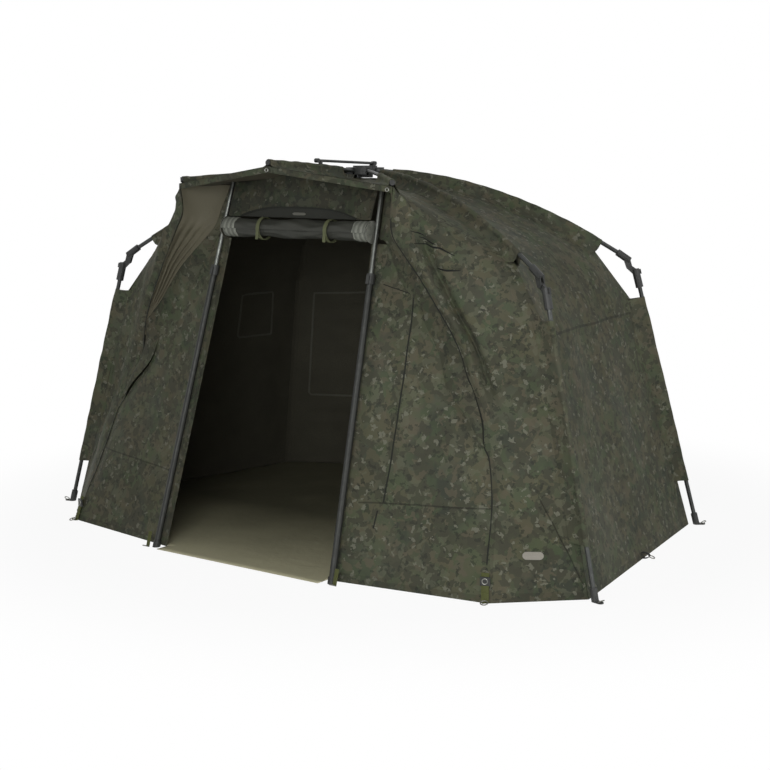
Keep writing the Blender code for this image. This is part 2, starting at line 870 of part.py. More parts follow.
def rolled_door():
    """The rolled door between the poles, drawn in a little at its ties."""
    bm = bmesh.new()
    rings = []
    for share in steps(ROLL_SECTIONS):
        x = ROLL_HALF_LENGTH * (2 * share - 1)
        drawn = 1 - ROLL_DRAW_SHARE * (1 - math.cos(math.tau * x / (2 * TIE_OFFSET))) / 2
        ring = []
        for across, up in roll_outline(drawn):
            ring.append(bm.verts.new((x, ROLL_Y + across, ROLL_HEIGHT + up)))
        rings.append(ring)
    for a, b in zip(rings, rings[1:]):
        for k in range(ROLL_SIDES):
            n = (k + 1) % ROLL_SIDES
            bm.faces.new((a[k], a[n], b[n], b[k]))
    bm.faces.new(rings[0][::-1])
    bm.faces.new(rings[-1])
    return finish_mesh(new_mesh("roll", bm), DARK_CLOTH)


add_object("rolled_door", rolled_door())


def tie_mesh():
    """A webbing loop round the rolled door."""
    bm = bmesh.new()
    rings = []
    for k in range(TIE_SIDES):
        angle = math.tau * k / TIE_SIDES
        ring = []
        for radius, x in (
            (TIE_INSIDE / math.cos(math.pi / TIE_SIDES), -TIE_WIDTH / 2),
            (TIE_INSIDE + TIE_THICKNESS, -TIE_WIDTH / 2),
            (TIE_INSIDE + TIE_THICKNESS, TIE_WIDTH / 2),
            (TIE_INSIDE / math.cos(math.pi / TIE_SIDES), TIE_WIDTH / 2),
        ):
            ring.append(bm.verts.new((x, radius * math.cos(angle), radius * math.sin(angle))))
        rings.append(ring)
    for a, b in zip(rings, rings[1:] + rings[:1]):
        for k in range(4):
            n = (k + 1) % 4
            bm.faces.new((a[k], a[n], b[n], b[k]))
    return finish_mesh(new_mesh("tie", bm), OLIVE_WEBBING)


TIE = tie_mesh()
for side, name in ((1, "door_tie_right"), (-1, "door_tie_left")):
    add_object(name, TIE, place=Matrix.Translation((side * TIE_OFFSET, ROLL_Y, ROLL_HEIGHT)))


# Groundsheet

def sheet_outline():
    """The groundsheet's corners, drawn in from the hems, with its door lip."""
    lip = DOOR_HALF_WIDTH - JAMB_WIDTH - SHEET_JAMB_GAP
    right = [
        ahead(lip, SHEET_FORWARD, 0),
        ahead(lip, DOOR_FORWARD - JAMB_BACK - CLOTH - SHEET_INSET, 0),
        ahead(CORNER_HALF_WIDTH - SHEET_INSET, CORNER_FORWARD - CLOTH - SHEET_INSET, 0),
        plan(RIB_ANGLES["front_right"], HEM_REACH - SHEET_INSET, 0),
        plan(RIB_ANGLES["rear_right"], HEM_REACH - SHEET_INSET, 0),
    ]
    back = [plan(RIB_ANGLES["rear"], HEM_REACH - SHEET_INSET, 0)]
    return [(p.x, p.y) for p in right + back + mirrored(right)[::-1]]


add_object(
    "groundsheet",
    finish_mesh(plate_mesh(sheet_outline(), 0, SHEET_THICKNESS, flat=True), KHAKI_SHEET, smooth=False),
)


# Hub

AT_HUB = Matrix.Translation((0, HUB_Y, 0))


def turned(angle):
    """The place of a rib's plane."""
    return AT_HUB @ Matrix.Rotation(angle, 4, "Z")


def spun(mesh, angle):
    """A copy of a mesh turned about the upright axis."""
    made = mesh.copy()
    made.transform(Matrix.Rotation(angle, 4, "Z"))
    return made


def hub_pin(radius, reach):
    """A cylinder along a hub pin, in a rib's or an arm's plane."""
    ends = [(HUB_PIN_REACH, side * reach, HUB_HEIGHT) for side in (-1, 1)]
    return rod_mesh(*ends, radius, EYE_SIDES)


def hub_body():
    """The slotted hub with a pin across each slot and a stem below."""
    low, high = HUB_HEIGHT - HUB_HALF_HEIGHT, HUB_HEIGHT + HUB_HALF_HEIGHT
    drum = rod_mesh((0, 0, low), (0, 0, high), HUB_RADIUS, HUB_SIDES)
    stem = rod_mesh((0, 0, low - HUB_STEM_HEIGHT), (0, 0, low + OVERRUN), HUB_STEM_RADIUS, EYE_SIDES * 2)
    slot_width = TONGUE_WIDTH + 2 * RUNNING_GAP
    slot_start = HUB_PIN_REACH - EYE_RADIUS - 2 * RUNNING_GAP
    slot_end = HUB_RADIUS + OVERRUN
    slot_top = high - HUB_ROOF
    slot = box_mesh(
        (slot_end - slot_start, slot_width, slot_top - low + OVERRUN),
        ((slot_start + slot_end) / 2, 0, (slot_top + low - OVERRUN) / 2),
    )
    pin = hub_pin(HUB_PIN_RADIUS, slot_width / 2 + OVERRUN * MIDDLE_SHARE)
    angles = list(RIB_ANGLES.values()) + [arm[0] for arm in ARMS.values()]
    slotted = carve(drum, [stem], [spun(slot, angle) for angle in angles])
    return carve(slotted, [spun(pin, angle) for angle in angles])


add_object("hub_body", finish_mesh(hub_body(), BLACK_PLASTIC), place=AT_HUB)

CAP_LOW = HUB_HEIGHT + HUB_HALF_HEIGHT + GAP
LEVER_HEIGHT = CAP_LOW + CAP_HEIGHT + LEVER_EYE_RADIUS + RUNNING_GAP


def hub_cap():
    """The hub's cap with two ears and a pin for the lever, in the middle arm's plane."""
    disc = rod_mesh((0, 0, CAP_LOW), (0, 0, CAP_LOW + CAP_HEIGHT), CAP_RADIUS, HUB_SIDES // 2)
    inner = LEVER_RADIUS + RUNNING_GAP
    outer = inner + EAR_THICKNESS
    half_cap = CAP_HEIGHT * MIDDLE_SHARE
    at_pin = ((-LEVER_BACK, LEVER_HEIGHT), LEVER_EYE_RADIUS - RUNNING_GAP)
    at_cap = ((-LEVER_BACK + LEVER_EYE_RADIUS * 2, CAP_LOW + half_cap), half_cap - GAP)
    outline = hull_outline([at_pin, at_cap], EYE_SIDES)
    ears = [plate_mesh(outline, inner, outer), plate_mesh(outline, -outer, -inner)]
    grip = inner + EAR_THICKNESS * MIDDLE_SHARE
    ends = [(-LEVER_BACK, side * grip, LEVER_HEIGHT) for side in (-1, 1)]
    return carve(disc, ears + [rod_mesh(*ends, LEVER_PIN_RADIUS, EYE_SIDES)])


MIDDLE_ARM_PLACE = turned(ARMS["middle"][0])
add_object("hub_cap", finish_mesh(hub_cap(), BLACK_PLASTIC), place=MIDDLE_ARM_PLACE)
lever_axis = empty("lever_axis", MIDDLE_ARM_PLACE @ Matrix.Translation((-LEVER_BACK, 0, LEVER_HEIGHT)))


def hub_lever():
    """The lever, from its eye behind the hub to the hook on the middle arm."""
    front_height = arm_height("middle", LEVER_REACH) + LEVER_LIFT
    front = Vector((LEVER_BACK + LEVER_REACH, 0, front_height - LEVER_HEIGHT))
    bar = rod_mesh((0, 0, 0), front, LEVER_RADIUS, TUBE_SIDES)
    eye = rod_mesh((0, -LEVER_RADIUS, 0), (0, LEVER_RADIUS, 0), LEVER_EYE_RADIUS, EYE_SIDES)
    bore_radius = (LEVER_PIN_RADIUS + RUNNING_GAP) / math.cos(math.pi / EYE_SIDES)
    reach = LEVER_RADIUS + OVERRUN
    bore = rod_mesh((0, -reach, 0), (0, reach, 0), bore_radius, EYE_SIDES)
    hook_reach = LEVER_REACH - LEVER_HOOK_INSET
    arm_top = arm_height("middle", hook_reach + LEVER_HOOK_LENGTH) + ARM_RADIUS
    hook_low = arm_top + RUNNING_GAP - LEVER_HEIGHT
    hook_high = front.z
    hook = box_mesh(
        (LEVER_HOOK_LENGTH, LEVER_RADIUS * 2, hook_high - hook_low),
        (hook_reach + LEVER_BACK, 0, (hook_high + hook_low) / 2),
    )
    knob_ends = [(front.x, side * LEVER_EYE_RADIUS, front.z) for side in (-1, 1)]
    knob = rod_mesh(*knob_ends, LEVER_EYE_RADIUS, EYE_SIDES)
    return carve(bar, [eye, hook, knob], [bore])


add_object("hub_lever", finish_mesh(hub_lever(), GUNMETAL), parent=lever_axis)


# Ribs and arms, each with a tongue on its hub pin

def tongued(tube, start, way_point):
    """A tube joined to the flat tongue and eye at its hub end."""
    at_eye = ((HUB_PIN_REACH, HUB_HEIGHT), EYE_RADIUS * TONGUE_EYE_SHARE)
    at_tube = ((start + OVERRUN, way_point.z), EYE_RADIUS * TONGUE_TUBE_SHARE)
    half_width = TONGUE_WIDTH / 2
    tongue = plate_mesh(hull_outline([at_eye, at_tube], EYE_SIDES), -half_width, half_width)
    eye = hub_pin(EYE_RADIUS, half_width)
    bore_radius = (HUB_PIN_RADIUS + RUNNING_GAP) / math.cos(math.pi / EYE_SIDES)
    return carve(tube, [tongue, eye], [hub_pin(bore_radius, half_width + OVERRUN)])


TUBE_START = HUB_RADIUS + RUNNING_GAP
rib_end = ELBOW - RIB_WAY * (SOCKET_END + SOCKET_WALL)
rib_points = [rib_point(TUBE_START + (rib_end.x - TUBE_START) * share) for share in steps(RIB_STEPS)]
straight = ELBOW - RIB_WAY * SOCKET_START
rib_points = [point for point in rib_points if point.x < straight.x - RIB_RADIUS] + [straight, rib_end]
RIB = finish_mesh(tongued(tube_mesh(rib_points, RIB_RADIUS), TUBE_START, rib_points[0]), GUNMETAL)


def knuckle_outline(circles):
    """A plate's outline in the knuckle, given from the elbow along rib or leg."""
    return hull_outline([((centre.x, centre.z), radius) for centre, radius in circles], KNUCKLE_SIDES)


def pin_bore(radius, reach):
    """A cylinder across the knuckle at its pivot."""
    return rod_mesh(PIVOT - Vector((0, reach, 0)), PIVOT + Vector((0, reach, 0)), radius, KNUCKLE_SIDES)


def knuckle_socket():
    """The knuckle's upper half: a barrel on the rib, two cheeks and the pin."""
    start, end = ELBOW - RIB_WAY * SOCKET_START, ELBOW - RIB_WAY * SOCKET_END
    barrel = rod_mesh(start, end, SOCKET_RADIUS, KNUCKLE_SIDES)
    inner = BLADE_THICKNESS / 2 + RUNNING_GAP
    outline = knuckle_outline(
        [
            (PIVOT, KNUCKLE_EYE_RADIUS),
            (ELBOW - RIB_WAY * (SOCKET_END + SOCKET_RADIUS), SOCKET_RADIUS * CHEEK_SHARE),
        ]
    )
    cheeks = [
        plate_mesh(outline, inner, inner + CHEEK_THICKNESS),
        plate_mesh(outline, -inner - CHEEK_THICKNESS, -inner),
    ]
    pin = pin_bore(KNUCKLE_PIN_RADIUS, inner + CHEEK_THICKNESS * MIDDLE_SHARE)
    bore_radius = (RIB_RADIUS + GAP) / math.cos(math.pi / TUBE_SIDES)
    bore = rod_mesh(
        ELBOW - RIB_WAY * (SOCKET_START + OVERRUN), rib_end + RIB_WAY * GAP, bore_radius, TUBE_SIDES
    )
    return carve(barrel, cheeks + [pin], [bore])


def knuckle_yoke():
    """The knuckle's lower half: a barrel on the leg and a blade on the pin."""
    barrel = rod_mesh(ELBOW + LEG_WAY * YOKE_START, ELBOW + LEG_WAY * YOKE_END, YOKE_RADIUS, KNUCKLE_SIDES)
    blade = plate_mesh(
        knuckle_outline(
            [
                (PIVOT, KNUCKLE_EYE_RADIUS - RUNNING_GAP),
                (ELBOW + LEG_WAY * (YOKE_START + YOKE_RADIUS), YOKE_RADIUS * CHEEK_SHARE),
            ]
        ),
        -BLADE_THICKNESS / 2,
        BLADE_THICKNESS / 2,
    )
    bore = pin_bore((KNUCKLE_PIN_RADIUS + RUNNING_GAP) / math.cos(math.pi / KNUCKLE_SIDES), BLADE_THICKNESS)
    leg_bore = rod_mesh(
        ELBOW + LEG_WAY * (YOKE_START + YOKE_FLOOR),
        ELBOW + LEG_WAY * (YOKE_END + OVERRUN),
        (LEG_RADIUS + GAP) / math.cos(math.pi / TUBE_SIDES),
        TUBE_SIDES,
    )
    pocket_depth = TRIGGER_HEIGHT - TRIGGER_PROUD + TRIGGER_TRAVEL + RUNNING_GAP
    pocket = box_mesh(
        (
            pocket_depth + OVERRUN,
            TRIGGER_WIDTH + 2 * RUNNING_GAP,
            TRIGGER_LENGTH + 2 * RUNNING_GAP,
        ),
        TRIGGER_SEAT + LEG_OUT * (YOKE_RADIUS - (pocket_depth - OVERRUN) / 2),
        LEG_TURN,
    )
    return carve(barrel, [blade], [bore, leg_bore, pocket])


LEG_TURN = Matrix((LEG_OUT, (0, 1, 0), -LEG_WAY)).transposed().to_4x4()
TRIGGER_SEAT = ELBOW + LEG_WAY * (YOKE_START + YOKE_FLOOR / 2)


def knuckle_trigger():
    """The sprung trigger in the yoke's outer side, with a ridged face."""
    outer = YOKE_RADIUS + TRIGGER_PROUD
    block = box_mesh(
        (TRIGGER_HEIGHT, TRIGGER_WIDTH, TRIGGER_LENGTH),
        TRIGGER_SEAT + LEG_OUT * (outer - TRIGGER_HEIGHT / 2),
        LEG_TURN,
    )
    groove = TRIGGER_PROUD * MIDDLE_SHARE
    grooves = []
    for k in (-1, 0, 1):
        grooves.append(
            box_mesh(
                (groove, TRIGGER_WIDTH + OVERRUN, groove * GROOVE_SHARE),
                TRIGGER_SEAT + LEG_OUT * outer + LEG_WAY * k * TRIGGER_PROUD,
                LEG_TURN,
            )
        )
    return carve(block, [], grooves)


def leg_tube():
    """A leg, from the yoke down into its foot."""
    start = ELBOW + LEG_WAY * (YOKE_START + YOKE_FLOOR + GAP)
    end = ELBOW + LEG_WAY * (LEG_LENGTH - FOOT_FLOOR)
    return rod_mesh(start, end, LEG_RADIUS, TUBE_SIDES)


def box_under(spot, reach):
    """A box under the ground round a spot, which cuts a foot flat."""
    return box_mesh((2 * reach, 2 * reach, reach), (*spot, -reach / 2))


def foot():
    """A foot on the leg's end, flat on the ground, with a pegging tab."""
    ground = Vector((FOOT_REACH, 0, 0))
    shoe_ends = (ground + LEG_WAY * FOOT_FLOOR, ground - LEG_WAY * FOOT_HEIGHT)
    shoe = rod_mesh(*shoe_ends, FOOT_RADIUS, KNUCKLE_SIDES)
    hole_reach = FOOT_REACH + TAB_LENGTH - TAB_RADIUS
    outline = hull_outline([((FOOT_REACH, 0), FOOT_RADIUS), ((hole_reach, 0), TAB_RADIUS)], EYE_SIDES)
    tab = plate_mesh(outline, 0, TAB_THICKNESS, flat=True)
    hole = rod_mesh(
        (hole_reach, 0, -OVERRUN), (hole_reach, 0, TAB_THICKNESS + OVERRUN), TAB_HOLE_RADIUS, EYE_SIDES
    )
    bore = rod_mesh(
        ground - LEG_WAY * (FOOT_FLOOR - GAP),
        ground - LEG_WAY * (FOOT_HEIGHT + OVERRUN),
        (LEG_RADIUS + GAP) / math.cos(math.pi / TUBE_SIDES),
        TUBE_SIDES,
    )
    below = box_under((FOOT_REACH, 0), 2 * TAB_LENGTH)
    return carve(shoe, [tab], [hole, bore, below])


def pivoted(mesh, surface, smooth=True):
    """A leg piece's mesh, moved so that the knuckle's pivot is its origin."""
    moved = mesh.copy()
    moved.transform(Matrix.Translation(-PIVOT))
    return finish_mesh(moved, surface, smooth)


SOCKET = finish_mesh(knuckle_socket(), BLACK_PLASTIC)
YOKE = pivoted(knuckle_yoke(), BLACK_PLASTIC)
TRIGGER = pivoted(knuckle_trigger(), BLACK_PLASTIC, smooth=False)
LEG = pivoted(leg_tube(), GUNMETAL)
FOOT = pivoted(foot(), BLACK_PLASTIC)

for place, angle in RIB_ANGLES.items():
    add_object(f"rib_{place}", RIB, place=turned(angle))
    add_object(f"knuckle_socket_{place}", SOCKET, place=turned(angle))
    leg_axis = empty(f"leg_axis_{place}", turned(angle) @ Matrix.Translation(PIVOT))
    add_object(f"knuckle_yoke_{place}", YOKE, parent=leg_axis)
    add_object(f"knuckle_trigger_{place}", TRIGGER, parent=leg_axis)
    add_object(f"leg_tube_{place}", LEG, parent=leg_axis)
    add_object(f"foot_{place}", FOOT, parent=leg_axis)


def arm_mesh(arm):
    """A peak arm from its tongue to its tip."""
    _, reach, _ = ARMS[arm]
    ends = [TUBE_START + (reach - TIP_CAP_LENGTH - TUBE_START) * share for share in steps(ARM_STEPS)]
    points = [Vector((spot, 0, arm_height(arm, spot))) for spot in ends]
    last = Vector((reach, 0, arm_height(arm, reach)))
    points.append(mix(points[-1], last, 1 - TIP_EYE_RADIUS * 2 / TIP_CAP_LENGTH))
    return finish_mesh(tongued(tube_mesh(points, ARM_RADIUS), TUBE_START, points[0]), GUNMETAL), points


for arm, (angle, reach, height) in ARMS.items():
    mesh, points = arm_mesh(arm)
    add_object(f"peak_arm_{arm}", mesh, place=turned(angle))
    way = (points[-1] - points[-2]).normalized()
    cap_start = points[-2]
    cap_end = points[-1] + way * TIP_EYE_RADIUS * 2
    cap = carve(
        rod_mesh(cap_start, cap_end, TIP_CAP_RADIUS, EYE_SIDES),
        [],
        [
            rod_mesh(
                cap_start - way * OVERRUN,
                points[-1] + way * GAP,
                (ARM_RADIUS + GAP) / math.cos(math.pi / TUBE_SIDES),
                TUBE_SIDES,
            )
        ],
    )
    add_object(f"peak_tip_{arm}", finish_mesh(cap, BLACK_PLASTIC), place=turned(angle))


# Door poles: an upper tube under the peak arm that slides in a lower one

def pole_frame(side):
    """The pole's foot and the way up it."""
    foot_point = pole_line(side, 0)
    return foot_point, (pole_line(side, HUB_HEIGHT) - foot_point).normalized()


POLE_BORE_RADIUS = (POLE_UPPER_RADIUS + RUNNING_GAP) / math.cos(math.pi / POLE_SIDES)


def pole_lower(base, way, clamp_low):
    """A door pole's lower tube with its foot, bored for the upper one."""
    low, foot_top = base - way * POLE_FOOT_RADIUS, base + way * POLE_FOOT_HEIGHT
    tube = rod_mesh(low, clamp_low + way * CLAMP_LENGTH / 2, POLE_LOWER_RADIUS, POLE_SIDES)
    shoe = rod_mesh(low, foot_top, POLE_FOOT_RADIUS, POLE_SIDES)
    bore = rod_mesh(foot_top, clamp_low + way * (CLAMP_LENGTH + OVERRUN), POLE_BORE_RADIUS, POLE_SIDES)
    return carve(tube, [shoe], [bore, box_under(base.xy, 2 * POLE_FOOT_RADIUS)])


def pole_clamp(way, clamp_low):
    """The clamp round both tubes, with its lever in front."""
    collar = rod_mesh(clamp_low, clamp_low + way * CLAMP_LENGTH, CLAMP_RADIUS, POLE_SIDES)
    stand = CLAMP_RADIUS + CLAMP_LEVER_THICKNESS / 2 - CLAMP_LEVER_SINK
    lever = box_mesh(
        (CLAMP_LEVER_THICKNESS * 2, CLAMP_LEVER_THICKNESS, CLAMP_LEVER_LENGTH),
        clamp_low + way * CLAMP_LENGTH / 2 - Vector((0, stand, 0)),
        way.to_track_quat("Z", "Y").to_matrix().to_4x4(),
    )
    below = clamp_low - way * OVERRUN
    through = rod_mesh(below, clamp_low + way * (CLAMP_LENGTH + OVERRUN), POLE_BORE_RADIUS, POLE_SIDES)
    seat_radius = (POLE_LOWER_RADIUS + GAP) / math.cos(math.pi / POLE_SIDES)
    seat = rod_mesh(below, clamp_low + way * (CLAMP_LENGTH / 2 + GAP), seat_radius, POLE_SIDES)
    return carve(collar, [lever], [through, seat])


for side, name in ((1, "right"), (-1, "left")):
    base, way = pole_frame(side)
    top_height = arm_skin("right", WING_TOP_REACH) - POLE_TOP_DROP
    clamp_low = base + way * (CLAMP_HEIGHT / way.z)
    upper_ends = (clamp_low - way * POLE_OVERLAP, base + way * (top_height / way.z))
    upper = rod_mesh(*upper_ends, POLE_UPPER_RADIUS, POLE_SIDES)
    add_object(f"door_pole_upper_{name}", finish_mesh(upper, POLE_GREY))
    slide = empty(f"door_pole_slide_{name}", Matrix.Translation(base))
    lower = pole_lower(base, way, clamp_low)
    clamp = pole_clamp(way, clamp_low)
    for mesh in (lower, clamp):
        mesh.transform(Matrix.Translation(-base))
    add_object(f"door_pole_lower_{name}", finish_mesh(lower, POLE_GREY), parent=slide)
    add_object(f"pole_clamp_{name}", finish_mesh(clamp, BLACK_PLASTIC), parent=slide)
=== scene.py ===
"""Looks of the bivvy tent: its cloth, webbing, zips and fittings, and the light and camera.

Lengths are in metres, in the part's own frame: +Z up, the door faces -Y.
"""

import math

import bmesh
import bpy
import numpy as np
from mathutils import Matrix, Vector
from mathutils.bvhtree import BVHTree


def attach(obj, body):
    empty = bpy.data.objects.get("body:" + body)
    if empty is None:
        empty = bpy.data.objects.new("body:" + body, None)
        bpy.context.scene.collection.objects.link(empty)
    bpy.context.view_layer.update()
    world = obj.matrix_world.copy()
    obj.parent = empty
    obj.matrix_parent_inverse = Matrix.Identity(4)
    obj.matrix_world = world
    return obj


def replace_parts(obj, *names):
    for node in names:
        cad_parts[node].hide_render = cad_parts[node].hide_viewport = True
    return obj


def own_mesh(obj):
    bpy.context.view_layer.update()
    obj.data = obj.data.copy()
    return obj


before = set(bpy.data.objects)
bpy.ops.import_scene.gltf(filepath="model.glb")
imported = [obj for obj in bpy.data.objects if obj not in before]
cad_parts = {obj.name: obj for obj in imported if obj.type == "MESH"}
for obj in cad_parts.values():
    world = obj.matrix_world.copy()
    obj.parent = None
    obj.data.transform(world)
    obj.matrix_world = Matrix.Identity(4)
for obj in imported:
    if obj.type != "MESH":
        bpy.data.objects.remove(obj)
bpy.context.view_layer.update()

# Sizes of the frame, as in the part's source
HUB_HEIGHT = 1.365
HUB_RADIUS = 0.072
ELBOW_REACH = 1.022
ELBOW_HEIGHT = 1.015
FOOT_REACH = 1.290
FOOT_TAB_REACH = 1.313
FIRST_RIB_ANGLE = math.radians(-18)
RIB_SPACING = math.radians(54)
RIB_PLACES = ("front_right", "rear_right", "rear", "rear_left", "front_left")
HUB_Y = -0.278
TIP_HALF_WIDTH = 0.485
TIP_FORWARD = 0.492
TIP_HEIGHT = 1.333
NOSE_FORWARD = 0.563
NOSE_HEIGHT = 1.398
ARM_RISE = 0.005
RIB_RADIUS = 0.008
DOOR_FORWARD = 0.735
DOOR_HALF_WIDTH = 0.410
CORNER_HALF_WIDTH = 0.952
CORNER_FORWARD = 0.625
MERGE_HALF_WIDTH = 0.848
MERGE_FORWARD = 0.478
MERGE_HEIGHT = 0.480
EDGE_BAY = 0.045
SHEET_FORWARD = 0.768

# Sizes of the cloth, as in the part's source
SKIN_DROP_HUB = 0.0287
SKIN_DROP_EAVE = 0.050
SKIN_DROP_TIP = 0.0135
ROOF_RIM_REACH = 0.022
EAVE_REACH = 0.872
NOTCH_REACH = 1.010
NOTCH_HEIGHT = 0.880
HEM_REACH = 1.258
ROOF_SAG = 0.014
WALL_SAG = 0.022
FOLD_DEPTH = 0.005
WING_TOP_REACH = 0.490
WING_DROP = 0.014
POLE_SIDE_CLEARANCE = 0.022
JAMB_WIDTH = 0.030
JAMB_BACK = 0.022
INFILL_TOP_HEIGHT = 1.120
INFILL_LIFT = 0.0012
ROLL_RADIUS = 0.041
ROLL_HEIGHT = 1.160
ROLL_HALF_LENGTH = 0.330
ROLL_DRAW_SHARE = 0.06
TIE_OFFSET = 0.155
HEADER_HEIGHT = 1.2015
SHEET_INSET = 0.0018
SHEET_JAMB_GAP = 0.004
UPPER_EDGE_SHARES = (
    (0.0, 0.0, 0.0),
    (-0.028, 0.0, 0.12),
    (0.02, -0.35, 0.195),
    (0.124, -0.2, 0.26),
    (0.278, 0.1, 0.352),
    (0.424, 0.35, 0.451),
    (0.562, 0.6, 0.546),
    (0.697, 0.85, 0.645),
    (0.821, 0.95, 0.726),
    (0.956, 1.0, 0.806),
    (1.005, 0.6, 0.893),
    (1.0, 0.0, 1.0),
)
LOWER_EDGE_SHARES = (
    (0.23, 0.07, 0.094),
    (0.52, 0.27, 0.335),
    (0.67, 0.48, 0.51),
    (0.80, 0.75, 0.72),
    (1.0, 1.0, 1.0),
)
ZIP_EDGE_SHARES = (
    (0.0, 0.0, 0.0),
    (0.158, 0.25, 0.1875),
    (0.303, 0.36, 0.281),
    (0.441, 0.50, 0.422),
    (0.644, 0.62, 0.602),
    (0.773, 0.73, 0.723),
    (0.915, 0.84, 0.866),
    (0.975, 0.96, 0.965),
)

# Sizes of what only this script makes
CLOTH = 0.0016
TAPE = 0.0022
TIE_WIDTH = 0.016  # as seen; the solids' ties are a little wider
SLEEVE_WALL = 0.0012
SLEEVE_START = 0.105
SLEEVE_END = 0.895
SLEEVE_END_LOW = 0.877
SLEEVE_WIDTH = 0.055
LEG_SLEEVE_TOP = 0.888
LEG_SLEEVE_LOW = 0.175
LEG_SLEEVE_WIDTH = 0.034
HEM_WIDTH = 0.026
FACING_WIDTH = 0.018


# Lines that the cloth follows, as in the part's source

SIDES = ((1, "right"), (-1, "left"))


def plan(angle, reach, height):
    """A point by its angle round the hub, its reach and its height."""
    return Vector((reach * math.cos(angle), HUB_Y + reach * math.sin(angle), height))


def ahead(across, forward, height):
    """A point by its distance from the middle and in front of the hub."""
    return Vector((across, HUB_Y - forward, height))


def sideways(point, side):
    """A point of the right side, on the side asked for."""
    return Vector((side * point[0], point[1], point[2]))


TIP_REACH = math.hypot(TIP_HALF_WIDTH, TIP_FORWARD)
TIP_ANGLE = math.atan2(-TIP_FORWARD, TIP_HALF_WIDTH)
ARMS = {
    "right": (TIP_ANGLE, TIP_REACH, TIP_HEIGHT),
    "middle": (-math.pi / 2, NOSE_FORWARD, NOSE_HEIGHT),
    "left": (math.pi - TIP_ANGLE, TIP_REACH, TIP_HEIGHT),
}
RIB_ANGLES = {place: FIRST_RIB_ANGLE + RIB_SPACING * k for k, place in enumerate(RIB_PLACES)}


def rib_height(reach):
    """Height of a rib's middle line over a reach from the hub's axis."""
    return HUB_HEIGHT - (HUB_HEIGHT - ELBOW_HEIGHT) * (reach / ELBOW_REACH) ** 2


def arm_height(arm, reach):
    """Height of a peak arm's middle line over a reach from the hub's axis."""
    _, end_reach, end_height = ARMS[arm]
    share = max(0, (reach - HUB_RADIUS) / (end_reach - HUB_RADIUS))
    return HUB_HEIGHT + (end_height - HUB_HEIGHT) * share + 4 * ARM_RISE * share * (1 - share)


def rib_skin(reach):
    """Height of the cloth under a rib."""
    drop = SKIN_DROP_HUB + (SKIN_DROP_EAVE - SKIN_DROP_HUB) * (reach / EAVE_REACH) ** 3
    return rib_height(reach) - drop


def arm_skin(arm, reach):
    """Height of the cloth under a peak arm."""
    drop = SKIN_DROP_HUB + (SKIN_DROP_TIP - SKIN_DROP_HUB) * (reach / ARMS[arm][1]) ** 2
    return arm_height(arm, reach) - drop


def rib_row(place, share):
    """Point of the roof's edge line under a rib, at a share from rim to eave."""
    reach = ROOF_RIM_REACH + (EAVE_REACH - ROOF_RIM_REACH) * share
    return plan(RIB_ANGLES[place], reach, rib_skin(reach))


def arm_row(arm, share):
    """Point of the roof's edge line under a peak arm, at a share from rim to tip."""
    reach = ROOF_RIM_REACH + (ARMS[arm][1] - ROOF_RIM_REACH) * share
    return plan(ARMS[arm][0], reach, arm_skin(arm, reach))


def pole_line(side, height):
    """A point on a door pole's middle line."""
    top = plan(TIP_ANGLE, WING_TOP_REACH, 0)
    point = ahead(DOOR_HALF_WIDTH, DOOR_FORWARD, 0).lerp(top, height / arm_height("right", WING_TOP_REACH))
    return Vector((side * point.x, point.y, height))


def leg_skin(place):
    """The wall's edge line behind a leg, from eave to ground."""
    corners = ((EAVE_REACH, rib_skin(EAVE_REACH)), (NOTCH_REACH, NOTCH_HEIGHT), (HEM_REACH, 0))
    return [plan(RIB_ANGLES[place], reach, height) for reach, height in corners]


def steps(count):
    """Even shares from 0 to 1."""
    return [k / count for k in range(count + 1)]


def length_of(line):
    """The length of a broken line."""
    return sum((b - a).length for a, b in zip(line, line[1:]))


def along(line, share):
    """The point at a share of a broken line's length."""
    left = share * length_of(line)
    for a, b in zip(line, line[1:]):
        length = (b - a).length
        if left <= length:
            return a.lerp(b, left / length)
        left -= length
    return line[-1].copy()


def rounded(points, count=12):
    """A smooth line through points, as a broken line of short steps."""
    ends = [2 * points[0] - points[1], *points, 2 * points[-1] - points[-2]]
    line = [points[0].copy()]
    for a, b, c, d in zip(ends, ends[1:], ends[2:], ends[3:]):
        for t in steps(count)[1:]:
            bend = t * (2 * a - 5 * b + 4 * c - d + t * (3 * (b - c) + d - a))
            line.append(b + 0.5 * t * (c - a + bend))
    return line


def shared_out(start, end, shares):
    """Points by their shares of the way from start to end in x, y and z."""
    return [Vector([a + share * (b - a) for a, b, share in zip(start, end, spot)]) for spot in shares]


MERGE = ahead(MERGE_HALF_WIDTH, MERGE_FORWARD, MERGE_HEIGHT)
UPPER_EDGE = shared_out(  # the shell's free edge on the right, from peak tip to merge
    arm_row("right", 1.0), MERGE, [(across, down, down) for across, _, down in UPPER_EDGE_SHARES]
)
for point, (_, bay, _) in zip(UPPER_EDGE, UPPER_EDGE_SHARES):
    point.y += bay * EDGE_BAY
LOWER_EDGE = shared_out(MERGE, ahead(CORNER_HALF_WIDTH, CORNER_FORWARD, 0), LOWER_EDGE_SHARES)
JAMB = Vector((-JAMB_WIDTH, JAMB_BACK, 0))
ZIP_TOP = pole_line(1, INFILL_TOP_HEIGHT) + Vector((2 * POLE_SIDE_CLEARANCE, JAMB_BACK, 0))
ZIP_EDGE = shared_out(ZIP_TOP, MERGE, ZIP_EDGE_SHARES)
ZIP_DRAW = 0.054
ZIP_DRAW_HEIGHT = 0.640
ZIP_DRAW_SPREAD = 0.105


def drawn(line):
    """A zip line drawn towards the door by the tension of the sheets, most above the merge."""
    for point in line:
        point.x -= ZIP_DRAW * math.exp(-(((point.z - ZIP_DRAW_HEIGHT) / ZIP_DRAW_SPREAD) ** 2))
    return line


